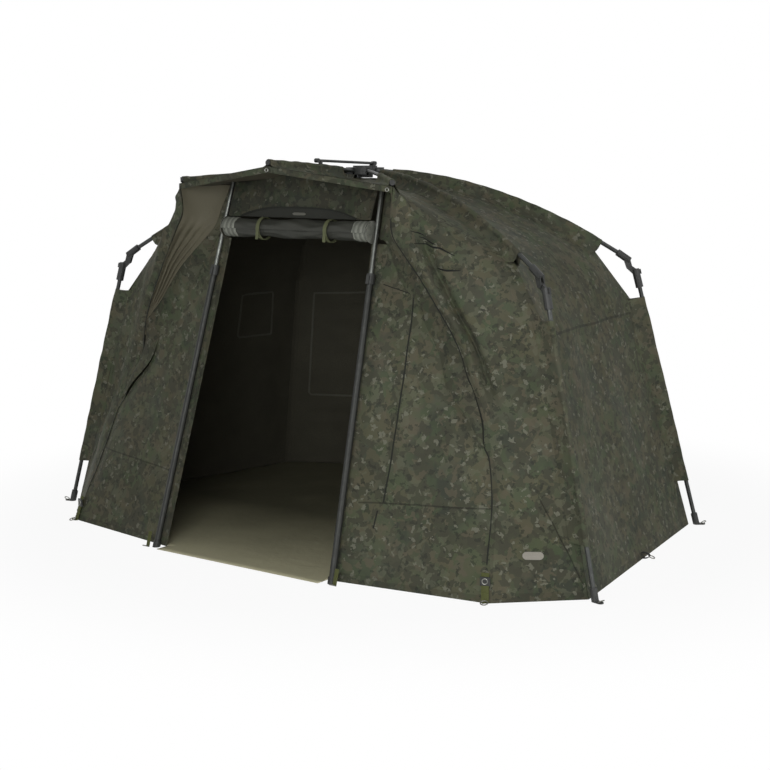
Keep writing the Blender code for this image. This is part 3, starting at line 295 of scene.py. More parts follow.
SHELL_LINE = drawn(rounded(UPPER_EDGE + LOWER_EDGE))
INFILL_LINE = drawn(rounded([*ZIP_EDGE, MERGE, *LOWER_EDGE]))
MERGE_SHARE = length_of(UPPER_EDGE) / length_of(UPPER_EDGE + LOWER_EDGE)


# Materials

def srgb(red, green, blue):
    """A colour given as it shows, from 0 to 255, as the shader reads it."""
    out = []
    for value in (red / 255, green / 255, blue / 255):
        out.append(value / 12.92 if value < 0.04045 else ((value + 0.055) / 1.055) ** 2.4)
    return (*out, 1.0)


def toned(colour, factor, lift=0.0):
    """A colour made lighter or darker."""
    return tuple(min(1.0, c * factor + lift) for c in colour[:3]) + (1.0,)


class Nodes:
    """A shader's tree, put together node by node."""

    def __init__(self, tree, place="Object"):
        self.tree = tree
        self.place = self.add("TexCoord").outputs[place]

    def add(self, kind, inputs=None, **settings):
        """A node with its settings, and its inputs set or linked."""
        made = self.tree.nodes.new("ShaderNode" + kind)
        for key, value in settings.items():
            setattr(made, key, value)
        for key, value in (inputs or {}).items():
            socket = made.inputs[key]
            if isinstance(value, bpy.types.NodeSocket):
                self.tree.links.new(value, socket)
            else:
                socket.default_value = value
        return made

    def noise(self, scale, turn=0.0, detail=2.0, roughness=0.5, distortion=0.0, place=None):
        """A noise field; another turn gives another field."""
        inputs = {"Vector": place or self.place, "W": turn, "Scale": scale, "Detail": detail}
        inputs.update({"Roughness": roughness, "Distortion": distortion})
        return self.add("TexNoise", inputs, noise_dimensions="4D").outputs["Fac"]

    def cells(self, size, bend):
        """A chance from 0 to 1 for each of the cells that fill space, their sides bent."""
        swirl = self.add(
            "TexNoise", {"Vector": self.place, "Scale": 0.6 / size, "Detail": 2.5, "Roughness": 0.6}
        ).outputs["Color"]
        shift = {0: swirl, 1: (2 * bend,) * 3, 2: self.place}
        bent = self.add("VectorMath", shift, operation="MULTIPLY_ADD").outputs[0]
        cell = self.add("TexVoronoi", {"Vector": bent, "Scale": 1 / size}).outputs["Color"]
        return self.add("SeparateColor", {"Color": cell}).outputs["Red"]

    def waves(self, axis, scale, distortion=0.0, detail=0.0):
        """Even ribs across an axis."""
        inputs = {"Vector": self.place, "Scale": scale, "Distortion": distortion, "Detail": detail}
        return self.add("TexWave", inputs, bands_direction=axis).outputs["Fac"]

    def ramp(self, value, low, high, to_low=0.0, to_high=1.0, curve="LINEAR"):
        """A value mapped from one range to another, and kept within it."""
        inputs = {"Value": value, "From Min": low, "From Max": high, "To Min": to_low, "To Max": to_high}
        return self.add("MapRange", inputs, interpolation_type=curve).outputs["Result"]

    def math(self, operation, a, b):
        """Two values put together."""
        return self.add("Math", {0: a, 1: b}, operation=operation).outputs[0]

    def mix(self, factor, a, b):
        """A colour between two colours."""
        return self.add("Mix", {0: factor, 6: a, 7: b}, data_type="RGBA").outputs[2]

    def bump(self, height, strength, distance, under=None):
        """Relief from a height field, over another relief."""
        inputs = {"Height": height, "Strength": strength, "Distance": distance}
        if under is not None:
            inputs["Normal"] = under
        return self.add("Bump", inputs).outputs["Normal"]

    def direct_ray(self):
        """1 for rays that come from the camera, or by gloss or glass, else 0."""
        rays = self.add("LightPath").outputs
        near = self.math("MAXIMUM", rays["Is Camera Ray"], rays["Is Glossy Ray"])
        return self.math("MAXIMUM", near, rays["Is Transmission Ray"])


class Look(Nodes):
    """A procedural material."""

    def __init__(self, name, roughness, metallic=0.0, specular=0.3):
        self.material = bpy.data.materials.new(name)
        self.material.use_nodes = True
        super().__init__(self.material.node_tree)
        self.shader = self.tree.nodes["Principled BSDF"]
        values = {"Roughness": roughness, "Metallic": metallic, "Specular IOR Level": specular}
        for key, value in values.items():
            self.shader.inputs[key].default_value = value

    def finish(self, colour, normal, roughness=None):
        """Links what was made to the shader and gives the material."""
        for key, value in (("Base Color", colour), ("Normal", normal), ("Roughness", roughness)):
            if value is not None:
                self.tree.links.new(value, self.shader.inputs[key])
        return self.material


CLOUDS = (  # size of a patch, turn, where it starts, softness, strength, colour
    (0.260, 1.0, 0.49, 0.07, 0.85, srgb(50, 54, 45)),
    (0.170, 4.0, 0.53, 0.06, 0.60, srgb(92, 85, 69)),
    (0.110, 9.0, 0.54, 0.05, 0.50, srgb(73, 84, 59)),
)
FRAGMENTS = (  # size of a cell, how far it is bent; share of the cells, strength and colour
    (0.044, 0.060, 0.62, 0.42, srgb(70, 80, 56)),
    (0.044, 0.060, 0.40, 0.45, srgb(88, 80, 64)),
    (0.044, 0.060, 0.22, 0.55, srgb(52, 56, 46)),
    (0.024, 0.034, 0.44, 0.45, srgb(94, 96, 78)),
    (0.024, 0.034, 0.29, 0.42, srgb(84, 74, 60)),
    (0.024, 0.034, 0.20, 0.60, srgb(46, 50, 41)),
    (0.012, 0.018, 0.15, 0.60, srgb(38, 42, 34)),
    (0.012, 0.018, 0.045, 0.55, srgb(128, 128, 112)),
)


def cloth_relief(look, weave=0.35, crease=0.50):
    """The relief of coated cloth: soft creases, and the weave over them."""
    creases = look.bump(look.noise(16.0, 3.0, 4.0, 0.55, 0.4), crease, 0.006)
    return look.bump(look.noise(520.0, 5.0, 1.0), weave, 0.0006, creases)


def camo_cloth(name, shade=1.0):
    """Generic woodland camouflage: soft large patches under small bent fragments."""
    look = Look(name, 0.8)
    colour = toned(srgb(76, 79, 64), shade)
    for size, turn, start, soft, strength, tone in CLOUDS:
        field = look.noise(1 / size, turn, 3.0, 0.6, 0.7)
        factor = look.ramp(field, start - soft, start + soft, 0.0, strength)
        colour = look.mix(factor, colour, toned(tone, shade))
    chances = {}
    for size, bend, share, strength, tone in FRAGMENTS:
        if size not in chances:
            chances[size] = look.cells(size, bend)
        factor = look.math("MULTIPLY", look.math("LESS_THAN", chances[size], share), strength)
        colour = look.mix(factor, colour, toned(tone, shade))
    worn = look.ramp(look.noise(3.0, 11.0, 3.0), 0.3, 0.7, 0.72, 0.90)
    return look.finish(colour, cloth_relief(look), worn)


def plain_cloth(name, colour, spread=0.1, roughness=0.8, weave=0.35, crease=0.3):
    """Cloth of one colour, a little uneven."""
    look = Look(name, roughness)
    patches = look.ramp(look.noise(9.0, 2.0, 4.0), 0.3, 0.7)
    specks = look.ramp(look.noise(240.0, 6.0, 2.0), 0.35, 0.65)
    factor = look.math("MULTIPLY", patches, specks)
    uneven = look.mix(factor, toned(colour, 1 - spread), toned(colour, 1 + spread))
    return look.finish(uneven, cloth_relief(look, weave, crease))


def sheet_look(name, inside, painted_door_light):
    """Coated sheet, paler towards the door with painted light from the doorway."""
    look = Look(name, 0.6)
    forward = look.add("SeparateXYZ", {0: look.place}).outputs["Y"]
    uneven = look.math("SUBTRACT", look.noise(3.0, 2.0, 4.0), 0.5)
    # painted light: the sheet grows paler towards the doorway, with some random unevenness
    share = look.math("ADD", look.ramp(forward, -0.25, -0.95), look.math("MULTIPLY", uneven, 0.5))
    return look.finish(look.mix(look.ramp(share, 0.0, 1.0), inside, painted_door_light), cloth_relief(look, 0.2))


def webbing(name, colour):
    """Woven tape, with its ribs across."""
    look = Look(name, 0.75)
    ribs = look.waves("Z", 140.0, 0.4, 1.0)
    return look.finish(look.mix(ribs, toned(colour, 0.7), colour), look.bump(ribs, 0.4, 0.0008))


def ribbed_band(name):
    """The pale mesh at the roll's ends, ribbed round the roll."""
    look = Look(name, 0.7, specular=0.4)
    ribs = look.waves("X", 15.5)
    net = look.ramp(look.noise(330.0, 4.0, 1.0), 0.35, 0.75, 0.0, 0.35)
    pale = look.mix(look.ramp(ribs, 0.2, 0.9), srgb(106, 109, 100), srgb(140, 142, 132))
    return look.finish(look.mix(net, pale, srgb(60, 62, 54)), look.bump(ribs, 0.5, 0.0015))


def plastic(name, colour, roughness=0.5):
    """Moulded plastic with a fine grain."""
    look = Look(name, roughness, specular=0.4)
    grain = look.noise(420.0, 3.0, 2.0)
    wear = look.ramp(look.noise(38.0, 7.0, 4.0), 0.45, 0.75)
    rough = look.ramp(grain, 0.3, 0.7, roughness - 0.08, roughness + 0.12)
    handled = look.mix(wear, colour, toned(colour, 1.5, 0.004))
    return look.finish(handled, look.bump(grain, 0.25, 0.0004), rough)


def metal(name, colour, roughness, metallic):
    """Anodised or painted tube, faintly drawn and handled."""
    look = Look(name, roughness, metallic, 0.5)
    drawn_out = look.add("Mapping", {"Vector": look.place, "Scale": (1.0, 1.0, 0.06)}).outputs[0]
    streaks = look.noise(260.0, 2.0, 2.0, place=drawn_out)
    marks = look.ramp(look.noise(55.0, 9.0, 5.0), 0.5, 0.8)
    rough = look.ramp(streaks, 0.3, 0.7, roughness - 0.08, roughness + 0.1)
    handled = look.mix(marks, colour, toned(colour, 1.5, 0.01))
    return look.finish(handled, look.bump(streaks, 0.08, 0.0003), rough)


CAMO = camo_cloth("camo_look")
# darker camo for hems and facings, and painted shade where it is used on the zip bands and the hood's
# front edge
CAMO_DARK = camo_cloth("camo_hem_and_painted_shade_look", 0.80)
# the header's camo, darkened as painted shade from the hood over it
CAMO_PAINTED_SHADE = camo_cloth("camo_header_painted_shade_look", 0.55)
SEAM_DARK = camo_cloth("camo_seam_look", 0.52)
INNER = plain_cloth("inner_cloth_look", srgb(70, 68, 57), 0.15, 0.85)
LINING = plain_cloth("lining_look", srgb(94, 90, 74), 0.06, 0.7, 0.15, 0.15)
UNDER_HOOD = plain_cloth("hood_lining_look", srgb(71, 68, 54), 0.08)
# the rolled door's dark cloth, darkened further as painted shade under the hood
ROLL_CLOTH = plain_cloth("rolled_door_look", srgb(57, 58, 52), 0.14, 0.6, 0.2, 0.7)
# the door's dark cloth under the arch, darkened further as painted shade under the hood
DOOR_PAINTED_SHADE = plain_cloth("door_cloth_painted_shade_look", srgb(40, 41, 36))
FRAME_LINE = plain_cloth("window_frame_look", srgb(88, 88, 78))
ZIP_DARK = plain_cloth("zip_look", srgb(28, 30, 24))
# vent slits: the mesh's dark colour and painted shade inside the slits
VENT_MESH_AND_SHADE = plain_cloth("vent_mesh_and_painted_shade_look", srgb(26, 27, 24), 0.2, 0.9)
# the second colour is painted light where the doorway lets light in
SHEET_LOOK = sheet_look("groundsheet_look", srgb(92, 90, 72), srgb(190, 186, 155))
OLIVE = webbing("olive_webbing_look", srgb(86, 90, 50))
KHAKI = webbing("khaki_webbing_look", srgb(104, 108, 78))
BLACK_WEB = webbing("black_webbing_look", srgb(30, 31, 27))
BAND = ribbed_band("roll_band_look")
PATCH = plain_cloth("bare_patch_look", srgb(148, 144, 134), 0.05, 0.6, 0.1, 0.05)
BADGE = plain_cloth("bare_badge_look", srgb(96, 96, 88), 0.05, 0.7, 0.1, 0.05)
BLACK = plastic("black_plastic_look", srgb(41, 42, 40))
TUBE = metal("gunmetal_look", srgb(56, 58, 56), 0.45, 0.5)
POLE = metal("pole_look", srgb(92, 94, 90), 0.36, 0.75)
POLE_DARK = metal("lower_pole_look", srgb(27, 29, 25), 0.5, 0.3)
STEEL = metal("steel_look", srgb(122, 122, 116), 0.38, 0.9)

CAD_LOOKS = (  # what a piece's name starts with, and its look
    (("rib_", "peak_arm", "leg_tube", "hub_lever"), TUBE),
    ("door_pole_upper", POLE),
    ("door_pole", POLE_DARK),
    ("", BLACK),
)
for name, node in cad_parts.items():
    look = next(look for start, look in CAD_LOOKS if name.startswith(start))
    for material_slot in node.material_slots:
        material_slot.material = look


# Meshes

WAVES = 9  # in an undulation


def new_object(name, mesh, looks, body="frame"):
    """A piece with its materials, riding on a body."""
    made = bpy.data.objects.new(name, mesh)
    bpy.context.scene.collection.objects.link(made)
    for look in looks:
        mesh.materials.append(look)
    mesh.shade_smooth()
    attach(made, body)
    return made


def normals(grid):
    """The unit normal at each point of a grid, for quads wound as grid_mesh winds them."""
    normal = np.cross(np.gradient(grid, axis=1), np.gradient(grid, axis=0))
    return normal / np.maximum(np.linalg.norm(normal, axis=-1, keepdims=True), 1e-9)


def outward(grid, outside):
    """The normals of a grid, turned to a point outside it."""
    normal = normals(grid)
    turned = np.sign((normal * (np.array(outside) - grid)).sum(-1, keepdims=True).mean())
    return normal * turned


def lifted(grid, outside, height):
    """A grid moved along its normals, towards a point outside it, by a height for each of its points."""
    return grid + outward(grid, outside) * height[..., None]


def grid_mesh(name, grid, outside):
    """A mesh of quads over a grid, turned to a point outside it."""
    rows, columns = grid.shape[:2]
    index = np.arange(rows * columns).reshape(rows, columns)
    corners = [index[:-1, :-1], index[:-1, 1:], index[1:, 1:], index[1:, :-1]]
    faces = np.stack(corners, -1).reshape(-1, 4)
    middle = rows // 2, columns // 2
    if (normals(grid)[middle] * (np.array(outside) - grid[middle])).sum() < 0:
        faces = faces[:, ::-1]
    mesh = bpy.data.meshes.new(name)
    mesh.from_pydata(grid.reshape(-1, 3).tolist(), [], faces.tolist())
    return mesh


def declare(grid):
    """Works out a sheet's flat width, length and area from its grid, and keeps none of them."""
    down, across = np.diff(grid, axis=0), np.diff(grid, axis=1)
    width = np.linalg.norm(across, axis=-1).sum(1).max()
    length = np.linalg.norm(down, axis=-1).sum(0).max()
    halves = np.cross(down[:, :-1], across[:-1]), np.cross(down[:, 1:], across[1:])
    area = sum(np.linalg.norm(half, axis=-1).sum() for half in halves) / 2
    flat = (round(float(width), 3), round(float(length), 3))
    area = round(min(float(area), flat[0] * flat[1]), 4)


def cloth(name, grid, outside, looks=(CAMO,), pick=None, offset=1.0):
    """A sheet cut to what its grid measures: its looks outside, chosen by pick, and dark inside."""
    mesh = grid_mesh(name, grid, outside)
    made = new_object(name, mesh, [INNER, *looks])
    chosen = np.ones(len(mesh.polygons), int)
    if pick is not None:
        chosen = pick((grid[:-1, :-1] + grid[1:, 1:]) / 2).reshape(-1)
    mesh.polygons.foreach_set("material_index", chosen.astype(np.int32))
    solidify = made.modifiers.new("thickness", "SOLIDIFY")
    solidify.thickness = CLOTH
    solidify.offset = offset
    solidify.use_quality_normals = True
    solidify.material_offset = -len(looks)
    made.modifiers.new("shading", "WEIGHTED_NORMAL").weight = 90
    declare(grid)
    return made


def undulation(points, depth, wavelength, seed):
    """A smooth field of hollows and swells over points, about as deep as said."""
    rng = np.random.default_rng(seed)
    total = np.zeros(points.shape[:-1])
    for _ in range(WAVES):
        way = rng.normal(size=3)
        way /= np.linalg.norm(way)
        length = wavelength * rng.uniform(0.7, 1.5)
        total += np.sin(points @ way * math.tau / length + rng.uniform(0, math.tau))
    return depth * total / math.sqrt(WAVES)


def rising(value, start, end):
    """0 up to the start, 1 from the end on, and even between them; the end may lie below the start."""
    return np.clip((value - start) / (end - start), 0, 1)


def bell(value, middle, spread):
    """1 at the middle, falling off softly on both sides."""
    return np.exp(-(((value - middle) / spread) ** 2))


def shares_of(grid):
    """The share down and the share across for a grid's rows and columns."""
    rows, columns = grid.shape[:2]
    return np.linspace(0, 1, rows)[:, None], np.linspace(0, 1, columns)[None, :]


def held(grid, margin=0.12):
    """A weight over a grid: 0 on its edges and 1 well inside."""
    weight = 1
    for share in shares_of(grid):
        near = rising(np.minimum(share, 1 - share), 0, margin)
        weight = weight * near * near * (3 - 2 * near)
    return weight


# Roof, walls and front panels: six sectors, each one curved sheet from hub to ground

ROOF_ROWS = 56
LOW_ROWS = 96
SECTOR_COLUMNS = 64
ROUNDING = 60  # passes
SOFT_WAVE = (0.0045, 0.34)  # depth and length
SMALL_WAVE = (0.0016, 0.10)
PUCKER = 0.0012
PUCKERING = 330  # radians down a sector
PUCKER_PLACE = 0.03  # beside a seam, as a share of the width


def as_grid(rows):
    """Rows of vectors as one array."""
    return np.array([[tuple(point) for point in row] for row in rows], float)


def roof_sag(down, _):
    """The roof's hollow between ribs, deepest halfway down."""
    return Vector((0, 0, -ROOF_SAG * math.sin(math.pi * down)))


def no_sag(_, __):
    """A sheet drawn flat."""
    return Vector()


def spanned(first, second, rows, columns, sag=no_sag):
    """A grid for cloth between two lines, each a function of a share."""
    grid = []
    for down in rows:
        a, b = first(down), second(down)
        grid.append([a.lerp(b, k) + 4 * k * (1 - k) * sag(down, k) for k in steps(columns)])
    return as_grid(grid)


def on_line(line, end=1.0):
    """A broken line as a function of a share of its way, up to an end."""
    return lambda share: along(line, share * end)


def sector(tops, lows, sag, outside, seed):
    """One sector's grid, from the roof's rim to the ground, rounded over its eave."""
    top = spanned(*tops, steps(ROOF_ROWS), SECTOR_COLUMNS, roof_sag)
    grid = np.concatenate([top, spanned(*lows, steps(LOW_ROWS), SECTOR_COLUMNS, sag)[1:]])
    _, across = shares_of(grid)
    weight = np.clip(np.sin(math.pi * across) * 2.2, 0, 1)[..., None]
    for _ in range(ROUNDING):
        grid[1:-1] += 0.5 * weight * ((grid[:-2] + grid[2:]) / 2 - grid[1:-1])
    wave = undulation(grid, *SOFT_WAVE, seed) + undulation(grid, *SMALL_WAVE, seed + 1)
    edge = np.minimum(across, 1 - across)
    beside_seam = bell(edge, PUCKER_PLACE, PUCKER_PLACE) * rising(edge, 0, PUCKER_PLACE)
    row_way = np.arange(len(grid))[:, None] / len(grid)
    pucker = PUCKER * np.sin(row_way * PUCKERING) * beside_seam
    return lifted(grid, outside, held(grid) * wave + pucker)


def middle_way(first, second):
    """The level direction from a wall's middle to the hub."""
    middle = (leg_skin(first)[-1] + leg_skin(second)[-1]) / 2
    return (Vector((0, HUB_Y, 0)) - middle).normalized()


def wall_sector(first, second, seed):
    """The grid of the roof's gore and the wall between two ribs, and a point outside it."""
    inward = middle_way(first, second)

    def sag(down, across):
        fold = FOLD_DEPTH * math.sin(math.pi * down) * math.sin(3 * math.tau * across)
        return (WALL_SAG * math.sin(math.pi * down) + fold) * inward

    outside = plan((RIB_ANGLES[first] + RIB_ANGLES[second]) / 2, 10 * FOOT_REACH, 5 * HUB_HEIGHT)
    tops = lambda share: rib_row(first, share), lambda share: rib_row(second, share)
    lows = on_line(leg_skin(first)), on_line(leg_skin(second))
    return sector(tops, lows, sag, outside, seed), outside


def front_sag(down, across):
    """The hollow and the soft folds of a front panel."""
    fold = FOLD_DEPTH * math.sin(2 * math.tau * across)
    return Vector((0, (WALL_SAG / 2 + fold) * math.sin(math.pi * down), 0))


FRONT_OUTSIDE = ahead(3 * CORNER_HALF_WIDTH, 10 * DOOR_FORWARD, 2 * HUB_HEIGHT)
FOLD_WAY = (  # height, and how far from the free edge the long fold's hollow runs
    (0.60, 0.062),
    (0.66, 0.072),
    (0.72, 0.070),
    (0.82, 0.076),
    (0.92, 0.080),
    (1.00, 0.084),
    (1.07, 0.100),
    (1.15, 0.120),
    (1.30, 0.130),
)
FOLD_RISE = 0.26  # of the hollow's way
FOLD_FALL = 0.30
SWELL = (  # height, and how far the cloth swells sideways beside the peak tip
    (1.06, 0.0),
    (1.12, 0.005),
    (1.18, 0.007),
    (1.25, 0.013),
    (1.29, 0.023),
    (1.305, 0.032),
    (1.32, 0.024),
)
SWELL_PLACE = 0.052
SWELL_SPREAD = 0.038
ZIP_HOLLOW = 0.018
ZIP_HOLLOW_WIDTH = 0.038


def by_height(table, height):
    """A table's value at a height."""
    return np.interp(height, *zip(*table))


def zip_hollow(inset, height):
    """How far the cloth is drawn in beside the zip."""
    window = rising(height, 0.05, 0.19) * rising(height, 0.74, 0.58)
    depth = ZIP_HOLLOW * window * bell(inset, 0, ZIP_HOLLOW_WIDTH)
    return depth[..., None] * np.array([-0.45, 0.89, 0.0])


def front_sector():
    """The right front's grid: the gore beside the peak and the panel under it."""
    tops = lambda share: arm_row("right", share), lambda share: rib_row("front_right", share)
    lows = on_line(SHELL_LINE), on_line(leg_skin("front_right"))
    grid = sector(tops, lows, front_sag, FRONT_OUTSIDE, 31)
    low = grid[ROOF_ROWS:]
    inset = np.linalg.norm(low - low[:, :1], axis=-1)
    height = low[:, :1, 2]
    way = by_height(FOLD_WAY, height)
    window = rising(height, 1.25, 1.15) * rising(height, 0.60, 0.74)
    crest = FOLD_RISE * bell(inset / way, 0.5, 0.27) - FOLD_FALL * bell(inset / way, 1.05, 0.24)
    low[:] = lifted(low, FRONT_OUTSIDE, window * way * crest)
    swell = by_height(SWELL, height) * bell(inset, SWELL_PLACE, SWELL_SPREAD)
    low += swell[..., None] * np.array([1.0, -0.25, 0.0]) + zip_hollow(inset, height)
    return grid


def mirrored(grid):
    """A grid on the other side of the tent."""
    return grid * np.array([-1.0, 1.0, 1.0])


def sided(grid, side):
    """A right side's grid on the side asked for, its columns still counted the same way round."""
    return grid if side > 0 else mirrored(grid)[:, ::-1]


def sided_pick(pick, side):
    """A choice of looks on the side asked for."""
    return pick if side > 0 else lambda centres: pick(centres[:, ::-1])[:, ::-1]


WALLS = {
    "wall_right": ("front_right", "rear_right", 11),
    "wall_rear_right": ("rear_right", "rear", 13),
    "wall_rear_left": ("rear", "rear_left", 17),
    "wall_left": ("rear_left", "front_left", 19),
}
front = front_sector()
wall_sectors = {name: wall_sector(*WALLS[name]) for name in WALLS}
SECTORS = [front, *(grid for grid, _ in wall_sectors.values()), sided(front, -1)]
NEAR_OUTSIDE = Vector((0, -20, 20))
OUTSIDES = [NEAR_OUTSIDE, *(outside for _, outside in wall_sectors.values()), NEAR_OUTSIDE]


def joined(strips):
    """Grids side by side as one, sharing their edges."""
    return np.concatenate([strips[0], *(strip[:, 1:] for strip in strips[1:])], 1)


ABOVE = (0, HUB_Y, 10)
roof_grid = joined([grid[: ROOF_ROWS + 1] for grid in SECTORS])
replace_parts(cloth("roof_canopy_cloth", roof_grid, ABOVE), "roof_canopy")


def low_rows_pick(share):
    """Chooses the darker second look for a sheet's lowest rows."""
    def pick(centres):
        down = np.arange(len(centres))[:, None] / len(centres)
        return np.where(down > share, 2, 1) * np.ones(centres.shape[1], int)

    return pick


def edge_pick(width):
    """Chooses the darker second look along a sheet's first column and above the ground."""
    def pick(centres):
        inset = np.linalg.norm(centres - centres[:, :1], axis=-1)
        return np.where((inset < width) | (centres[..., 2] < HEM_WIDTH), 2, 1)

    return pick


def gathered(top, bottom, square=True):
    """The way a sheet between two rows crumples, and the point of the top row where it stays."""
    ends = [Vector(point) for point in (top[0], top[-1])]
    middle = (ends[0] + ends[1]) / 2
    way = middle - (Vector(bottom[0]) + Vector(bottom[-1])) / 2
    if square:
        chord = (ends[1] - ends[0]).normalized()
        way -= chord * way.dot(chord)
    return way.normalized(), middle


def crumples(piece):
    """Gives a soft piece a mesh of its own."""
    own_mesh(piece)


HEM_LOOKS = [CAMO, CAMO_DARK]
WALL_LENGTH = 1.15
HEM_ROW_SHARE = 1 - HEM_WIDTH / WALL_LENGTH
walls = {}
for name, (first, second, _) in WALLS.items():
    grid, outside = wall_sectors[name]
    grid = grid[ROOF_ROWS:]
    pick = low_rows_pick(HEM_ROW_SHARE)
    wall = cloth(f"{name}_cloth", grid, outside, HEM_LOOKS, pick)
    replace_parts(wall, name)
    walls[name] = (wall, grid)
    gathered(grid[0], grid[-1])

FRONT_SPLIT = 22  # row where the upper front sheet ends and the lower one starts
front_grid = front[ROOF_ROWS:]
for place in RIB_PLACES:
    eave, _, hem = leg_skin(place)


def fronts(side, name):
    """The front panel of one side, in an upper and a lower sheet."""
    grid = sided(front_grid, side)
    outside = sideways(FRONT_OUTSIDE, side)
    pick = sided_pick(edge_pick(FACING_WIDTH), side)
    gathered(grid[FRONT_SPLIT], grid[-1], False)
    sheets = []
    for label, part, tubes in (
        ("upper", grid[: FRONT_SPLIT + 1], [f"peak_arm_{name}", f"rib_front_{name}"]),
        ("lower", grid[FRONT_SPLIT:], [f"leg_tube_front_{name}"]),
    ):
        sheets.append(cloth(f"front_{name}_{label}", part, outside, HEM_LOOKS, pick))
    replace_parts(sheets[1], f"front_panel_{name}")
    return sheets


front_sheets = {name: fronts(side, name) for side, name in SIDES}


# Wings: the plain lining that turns in behind the shell's free edge, and the zip's band in front of it

WING_ROWS = 110
LINING_COLUMNS = 44
BAND_COLUMNS = 14
PLEATS = 4.0
PLEAT_DEPTH = 0.0075
LINING_HOLLOW = 0.020
FAR_IN_FRONT = (0, -9, 1)
LOW_LINING = ((0.619, -0.702, 0.930), (0.664, -0.706, 0.868), (0.731, -0.722, 0.783))
LINING_EDGES = {  # where each lining meets the zip's band, downwards, as on the right
    "right": (
        (0.422, -0.668, 1.240),
        (0.456, -0.702, 1.160),
        (0.502, -0.704, 1.100),
        (0.538, -0.702, 1.060),
        (0.577, -0.700, 1.000),
    ),
    "left": (
        (0.382, -0.652, 1.240),
        (0.394, -0.682, 1.165),
        (0.443, -0.694, 1.110),
        (0.504, -0.699, 1.055),
        (0.570, -0.700, 0.992),
    ),
}
LINING_FOOT_SHARE = 0.70  # of the way down the free edge
BAND_HEIGHTS = (1.31, 1.24, 1.18, 1.14)  # where the band runs beside the pole


def lining_grid(name):
    """One lining's grid from the free edge to the zip's band, as on the right, and its edge there."""
    top = plan(TIP_ANGLE, WING_TOP_REACH, arm_skin("right", WING_TOP_REACH))
    top += Vector((POLE_SIDE_CLEARANCE, 0, -WING_DROP))
    foot = along(SHELL_LINE, MERGE_SHARE * LINING_FOOT_SHARE) + Vector((-0.004, 0.006, 0))
    edge = rounded([top, *map(Vector, LINING_EDGES[name] + LOW_LINING), foot])
    free_edge = on_line(SHELL_LINE, MERGE_SHARE * LINING_FOOT_SHARE)
    grid = spanned(free_edge, on_line(edge), steps(WING_ROWS), LINING_COLUMNS)
    down, across = shares_of(grid)
    width = np.linalg.norm(grid[:, -1:] - grid[:, :1], axis=-1)
    calm = rising(width, 0, 0.05) * rising(across, 0, 1 / 9) * rising(across, 1, 6 / 7)
    turns = PLEATS * across**1.2 + 0.5 * down
    pleat = PLEAT_DEPTH * rising(down, 0.35 / 2.2, 1.35 / 2.2) * np.sin(math.tau * turns)
    hollow = LINING_HOLLOW * np.sin(math.pi * across) ** 0.8 * rising(width, 0, 0.07)
    lift = calm * (pleat + undulation(grid, 0.004, 0.16, 45)) - hollow
    return lifted(grid, FAR_IN_FRONT, lift), edge


def band_grid(edge):
    """The right zip band's grid, from the lining's edge to the zip."""
    beside_pole = [pole_line(1, height) + Vector((0.002, 0.017, 0)) for height in BAND_HEIGHTS]
    beside_zip = [point + Vector((-0.008, -0.002, 0)) for point in ZIP_EDGE]
    inner = drawn(rounded([*beside_pole, *beside_zip, MERGE]))
    rest = [MERGE_SHARE * (LINING_FOOT_SHARE + (1 - LINING_FOOT_SHARE) * k) for k in steps(16)]
    outer = edge + [along(SHELL_LINE, share) + Vector((-0.003, 0.004, 0)) for share in rest]
    grid = spanned(on_line(outer), on_line(inner), steps(WING_ROWS), BAND_COLUMNS)
    _, across = shares_of(grid)
    swell = np.sin(math.pi * across) * (0.004 + undulation(grid, 0.0022, 0.11, 47))
    return lifted(grid, FAR_IN_FRONT, swell - 0.002)


for side, name in SIDES:
    lining, lining_edge = lining_grid(name)
    cloth(f"wing_{name}", sided(lining, side), FAR_IN_FRONT, [LINING])
    grid = sided(band_grid(lining_edge), side)
    # the zip band's darker camo is painted shade beside the pole
    cloth(f"zip_band_{name}", grid, (side * 2, -9, 1), [CAMO_DARK])


# Infill panels beside the door

INFILL_ROWS = 110
INFILL_COLUMNS = 56
INFILL_FACING = 0.016


def infill_grid():
    """The right infill's grid, from the door's edge to the zip."""
    door_edge = [pole_line(1, height) + JAMB for height in (INFILL_TOP_HEIGHT, 0)]
    grid = spanned(on_line(door_edge), on_line(INFILL_LINE), steps(INFILL_ROWS), INFILL_COLUMNS)
    grid[-1, :, 2] += INFILL_LIFT
    down, across = shares_of(grid)
    wave = undulation(grid, 0.0026, 0.30, 41) + undulation(grid, 0.0010, 0.09, 43)
    pull = 0.0022 * np.sin(math.tau * (across * 3 + down * 1.5)) * np.sin(math.pi * down)
    inset = np.linalg.norm(grid - grid[:, -1:], axis=-1)
    hollow = zip_hollow(inset, grid[..., 2])
    return lifted(grid, FRONT_OUTSIDE, held(grid) * (wave + pull) - CLOTH) + hollow


infills = {}
for side, name in SIDES:
    grid, outside = sided(infill_grid(), side), sideways(FRONT_OUTSIDE, side)
    pick = sided_pick(edge_pick(INFILL_FACING), side)
    infills[name] = cloth(f"infill_{name}", grid, outside, HEM_LOOKS, pick)
    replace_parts(infills[name], f"infill_panel_{name}")


# Hood over the door, with its lining and hem

HOOD_ROWS = 50
HOOD_COLUMNS = 44
HOOD_HEM_SHARE = 0.965
HOOD_BAND = 0.020


def hood_grid(shares, columns):
    """The hood's grid from the right peak arm over the middle one to the left."""
    right, middle, left = [lambda share, arm=arm: arm_row(arm, share) for arm in ARMS]
    halves = (right, middle), (middle, left)
    return joined([spanned(*half, shares, columns, roof_sag) for half in halves])


hood = hood_grid(steps(HOOD_ROWS), HOOD_COLUMNS)
hood = lifted(hood, ABOVE, undulation(hood, 0.0016, 0.16, 51) * held(hood, 0.08))
